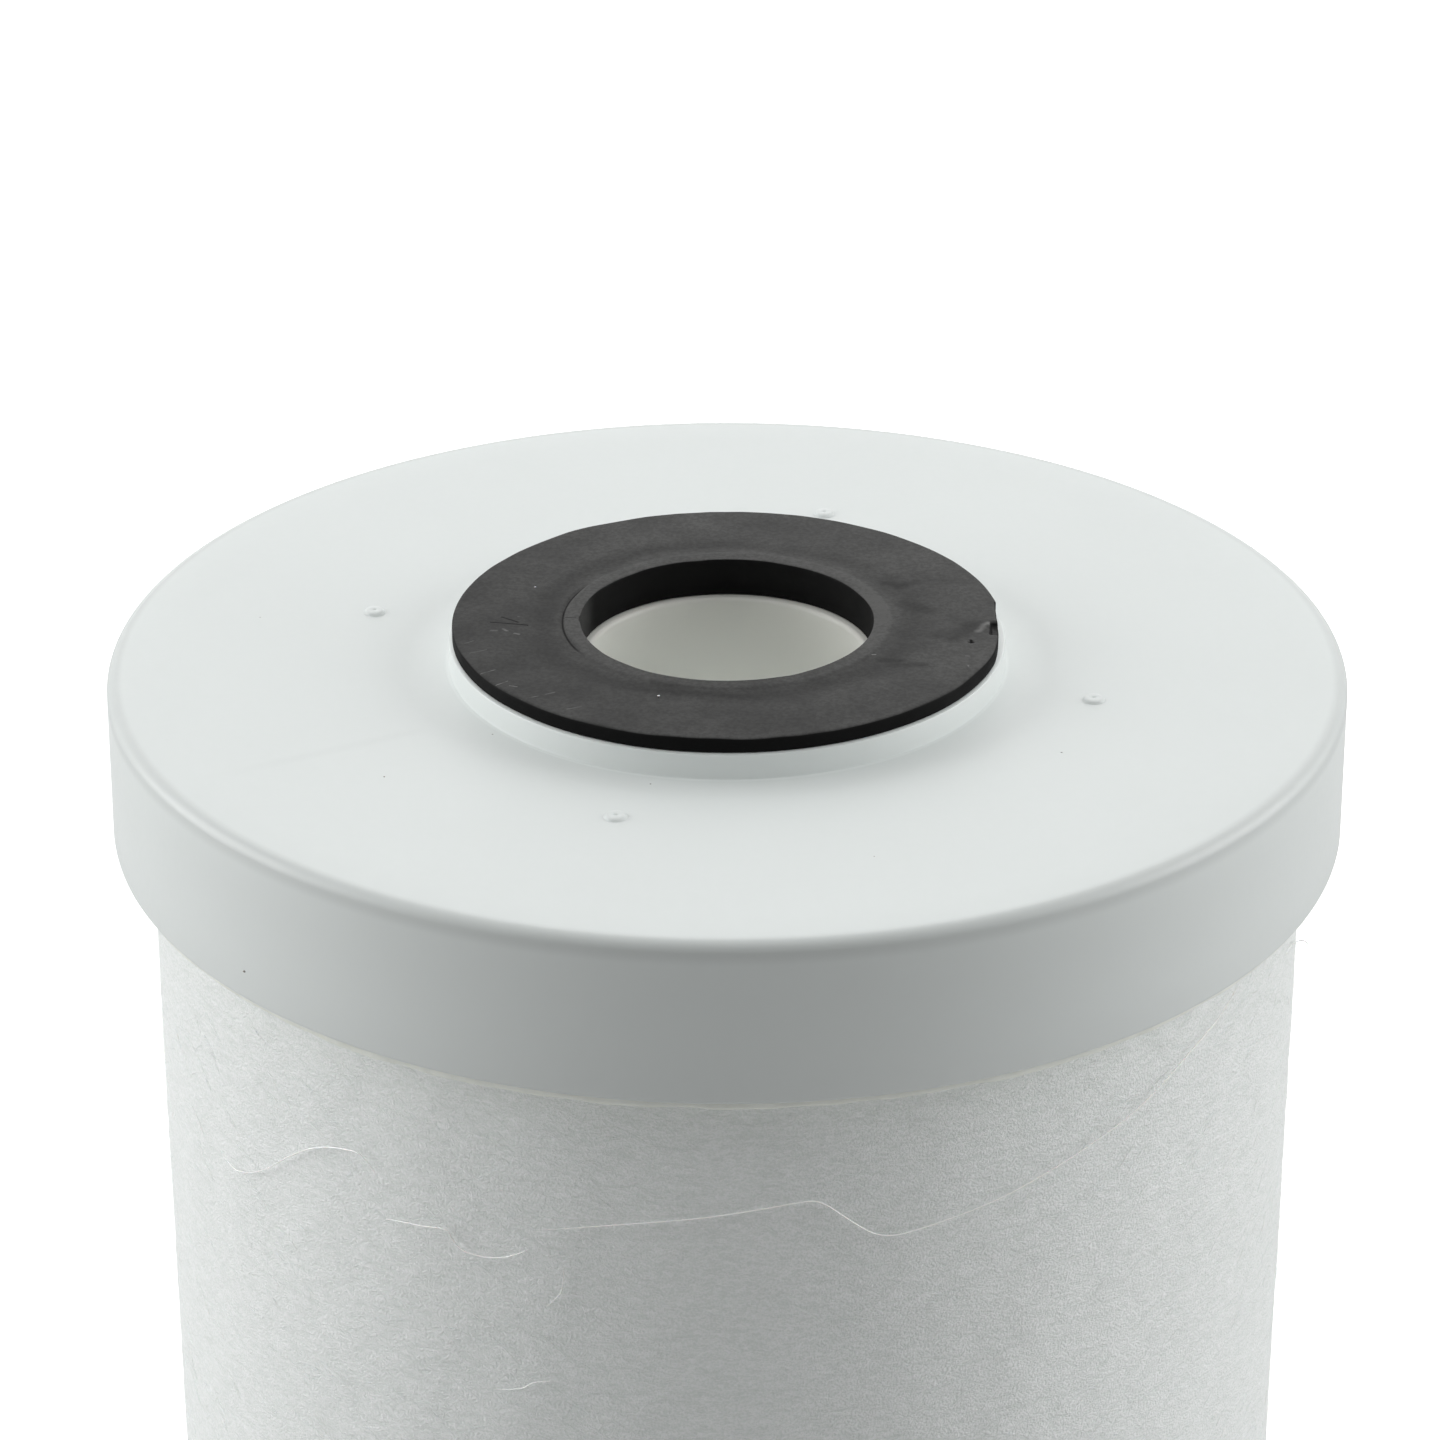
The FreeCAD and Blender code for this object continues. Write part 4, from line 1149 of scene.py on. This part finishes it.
def make_specks(sizes, name, specks, seed, material):
    """Small uneven crumbs."""
    draw = np.random.default_rng(seed)
    mesh = bpy.data.meshes.new(name)
    work = bmesh.new()
    for across, along, depth, size in specks:
        deep = face_depth(sizes, math.hypot(across, along) * MM) if depth is None else depth * MM
        crumb = bmesh.ops.create_icosphere(work, subdivisions=2, radius=size * MM / 2.0)["verts"]
        stretch = Vector((draw.uniform(0.7, 1.4), draw.uniform(0.6, 1.0), 0.5))
        for vert in crumb:
            rough = 1.0 + draw.uniform(-0.15, 0.15)
            vert.co = vert.co * stretch * rough + Vector((across * MM, along * MM, TOP - deep))
    close_mesh(work, mesh)
    mesh.shade_smooth()
    add_piece(name, mesh, material)


# Studio


def floor_material(colours):
    """Pale floor that shows white to the camera where nothing shades it."""
    graph, place = new_material("studio_floor")
    seen = graph.add("ShaderNodeLightPath").outputs["Is Camera Ray"]
    plain = graph.blend(graph.noise(place, 3.0, 1.0), shade(colours.floor, 0.99), colours.floor)
    diffuse = graph.add("ShaderNodeBsdfDiffuse", {
        "Color": graph.blend(seen, plain, (0.9, 0.9, 0.9))})
    far = graph.ramp(graph.vector("LENGTH", place), 0.5, 1.1, 0.5, 1.0)
    glow = graph.add("ShaderNodeEmission", {"Color": WHITE, "Strength": far * seen})
    both = graph.add("ShaderNodeAddShader", {
        0: diffuse.outputs["BSDF"], 1: glow.outputs["Emission"]})
    return graph.close(both.outputs["Shader"])


def make_floor(colours):
    """A level floor under the cartridge."""
    bpy.ops.mesh.primitive_plane_add(size=6.0, location=(0.0, 0.0, 0.0))
    floor = bpy.context.object
    floor.name = "studio_floor"
    floor.data.materials.append(floor_material(colours))


def make_sky(studio):
    """Even light from all round, and a white background."""
    world = bpy.data.worlds.new("studio_sky")
    bpy.context.scene.world = world
    world.use_nodes = True
    graph = Graph(world.node_tree)
    light = graph.add("ShaderNodeLightPath").outputs
    seen = graph.math("MAXIMUM", light["Is Camera Ray"], light["Is Transmission Ray"])
    gloss = graph.math("MULTIPLY", light["Is Glossy Ray"], studio.gloss_sky - studio.sky)
    soft = graph.add("ShaderNodeBackground", {"Color": WHITE, "Strength": gloss + studio.sky})
    white = graph.add("ShaderNodeBackground", {"Color": WHITE, "Strength": 1.0})
    mixed = graph.add("ShaderNodeMixShader", {
        0: seen, 1: soft.outputs["Background"], 2: white.outputs["Background"]})
    graph.add("ShaderNodeOutputWorld", {"Surface": mixed.outputs["Shader"]})


# Square soft lamps, each with its side and its place.
LAMPS = {"top_lamp": (2.2, (0.0, 0.25, 1.35)), "left_lamp": (0.9, (-1.05, 0.1, 0.5)),
         "right_lamp": (0.9, (1.05, 0.1, 0.5)), "back_lamp": (1.4, (0.0, 1.3, 0.75))}


def add_lamp(name, studio, size):
    """A soft lamp with the power that the settings give."""
    light = bpy.data.lights.new(name, "AREA")
    light.energy = getattr(studio, name)
    light.size = size
    return add_object(name, light)


def make_lamps(studio):
    """The lamps round the cartridge, and a disc down the bore, out of the camera's sight."""
    target = Vector((0.0, 0.0, TOP * 0.8))
    for name, (size, place) in LAMPS.items():
        aim = (target - Vector(place)).to_track_quat("-Z", "Y").to_matrix().to_4x4()
        add_lamp(name, studio, size).matrix_world = Matrix.Translation(place) @ aim
    bore = add_lamp("bore_lamp", studio, BORE_LAMP_SIZE)
    bore.data.shape = "DISK"
    bore.location = (0.0, 0.0, TOP - BORE_LAMP_DEPTH)
    bore.rotation_euler = (math.pi, 0.0, 0.0)
    bore.visible_camera = False


def make_camera(studio, sizes):
    """The camera, and how its picture is shown."""
    view = bpy.data.cameras.new("camera")
    view.lens = studio.camera_lens
    view.sensor_width = SENSOR
    view.clip_start = 0.01
    camera = add_object("camera", view)
    camera.matrix_world = Matrix.Translation(camera_place(studio, sizes)) @ camera_turn(
        studio).to_4x4()
    bpy.context.scene.camera = camera
    bpy.context.scene.view_settings.view_transform = "Standard"


# Operators


class CARTRIDGE_OT_studio(bpy.types.Operator):
    """Makes the floor, the sky, the lamps and the camera"""
    bl_idname = "cartridge.studio"
    bl_label = "Studio"

    def execute(self, context):
        make_floor(context.scene.cartridge_colours)
        make_sky(context.scene.cartridge_studio)
        make_lamps(context.scene.cartridge_studio)
        make_camera(context.scene.cartridge_studio, context.scene.cartridge_sizes)
        return {"FINISHED"}


class CARTRIDGE_OT_end_caps(bpy.types.Operator):
    """Makes the two moulded end caps"""
    bl_idname = "cartridge.end_caps"
    bl_label = "End caps"

    def execute(self, context):
        for side in SIDES:
            make_end_cap(context.scene.cartridge_sizes, context.scene.cartridge_colours, side)
        return {"FINISHED"}


class CARTRIDGE_OT_gate_stubs(bpy.types.Operator):
    """Sets out the stubs that the injection gates left on the caps"""
    bl_idname = "cartridge.gate_stubs"
    bl_label = "Gate stubs"

    def execute(self, context):
        make_gate_stubs(context.scene.cartridge_sizes, context.scene.cartridge_colours)
        return {"FINISHED"}


class CARTRIDGE_OT_gaskets(bpy.types.Operator):
    """Makes the two rubber gaskets, the upper one worn"""
    bl_idname = "cartridge.gaskets"
    bl_label = "Gaskets"

    def execute(self, context):
        for side in SIDES:
            make_gasket(context.scene.cartridge_sizes, context.scene.cartridge_colours, side)
        return {"FINISHED"}


class CARTRIDGE_OT_felt(bpy.types.Operator):
    """Makes the felt wrap and the short fibres on it"""
    bl_idname = "cartridge.felt"
    bl_label = "Felt wrap"

    def execute(self, context):
        make_felt_wrap(context.scene.cartridge_sizes, context.scene.cartridge_colours)
        make_felt_fuzz(context.scene.cartridge_sizes, context.scene.cartridge_colours)
        return {"FINISHED"}


class CARTRIDGE_OT_loose_fibres(bpy.types.Operator):
    """Lays the long loose fibres on the felt"""
    bl_idname = "cartridge.loose_fibres"
    bl_label = "Loose fibres"

    def execute(self, context):
        make_loose_fibres(context.scene.cartridge_sizes, context.scene.cartridge_studio)
        return {"FINISHED"}


class CARTRIDGE_OT_hot_melt(bpy.types.Operator):
    """Makes the glue rings with their uneven beads"""
    bl_idname = "cartridge.hot_melt"
    bl_label = "Hot melt"

    def execute(self, context):
        for side in SIDES:
            make_outer_bond(context.scene.cartridge_sizes, context.scene.cartridge_colours, side)
        return {"FINISHED"}


class CARTRIDGE_OT_inner_pieces(bpy.types.Operator):
    """Gives the hidden pieces their materials"""
    bl_idname = "cartridge.inner_pieces"
    bl_label = "Inner pieces"

    def execute(self, context):
        paint_inner_pieces(context.scene.cartridge_colours)
        return {"FINISHED"}


class CARTRIDGE_OT_specks(bpy.types.Operator):
    """Drops dark specks of dust on the cap and pale ones on the gasket"""
    bl_idname = "cartridge.specks"
    bl_label = "Specks"

    def execute(self, context):
        dark = fibre_material("speck_dark", (0.22, 0.21, 0.19))
        pale = fibre_material("speck_pale", (0.8, 0.8, 0.78))
        sizes = context.scene.cartridge_sizes
        make_specks(sizes, "cap_specks", CAP_SPECKS, 2, dark)
        make_specks(sizes, "gasket_specks", GASKET_SPECKS, 6, pale)
        return {"FINISHED"}


STEPS = (
    CARTRIDGE_OT_studio,
    CARTRIDGE_OT_end_caps,
    CARTRIDGE_OT_gate_stubs,
    CARTRIDGE_OT_gaskets,
    CARTRIDGE_OT_felt,
    CARTRIDGE_OT_loose_fibres,
    CARTRIDGE_OT_hot_melt,
    CARTRIDGE_OT_inner_pieces,
    CARTRIDGE_OT_specks,
)
GROUPS = {
    "cartridge_sizes": CartridgeSizes,
    "cartridge_colours": CartridgeColours,
    "cartridge_studio": StudioSettings,
}


class CARTRIDGE_PT_panel(bpy.types.Panel):
    """Lists the cartridge's steps and settings"""
    bl_idname = "CARTRIDGE_PT_panel"
    bl_label = "Filter cartridge"
    bl_space_type = "VIEW_3D"
    bl_region_type = "UI"
    bl_category = "Cartridge"

    def draw(self, context):
        for step in STEPS:
            self.layout.operator(step.bl_idname)
        for name in GROUPS:
            group = getattr(context.scene, name)
            box = self.layout.box()
            for setting in group.bl_rna.properties.keys():
                if setting not in ("rna_type", "name"):
                    box.prop(group, setting)


CLASSES = (*GROUPS.values(), *STEPS, CARTRIDGE_PT_panel)


def register():
    for item in CLASSES:
        bpy.utils.register_class(item)
    for name, group in GROUPS.items():
        setattr(bpy.types.Scene, name, PointerProperty(type=group))


def unregister():
    for name in GROUPS:
        delattr(bpy.types.Scene, name)
    for item in reversed(CLASSES):
        bpy.utils.unregister_class(item)


def main():
    register()
    bpy.ops.cartridge.studio()
    bpy.ops.cartridge.end_caps()
    bpy.ops.cartridge.gate_stubs()
    bpy.ops.cartridge.gaskets()
    bpy.ops.cartridge.felt()
    bpy.ops.cartridge.loose_fibres()
    bpy.ops.cartridge.hot_melt()
    bpy.ops.cartridge.inner_pieces()
    bpy.ops.cartridge.specks()


if __name__ == "__main__":
    main()
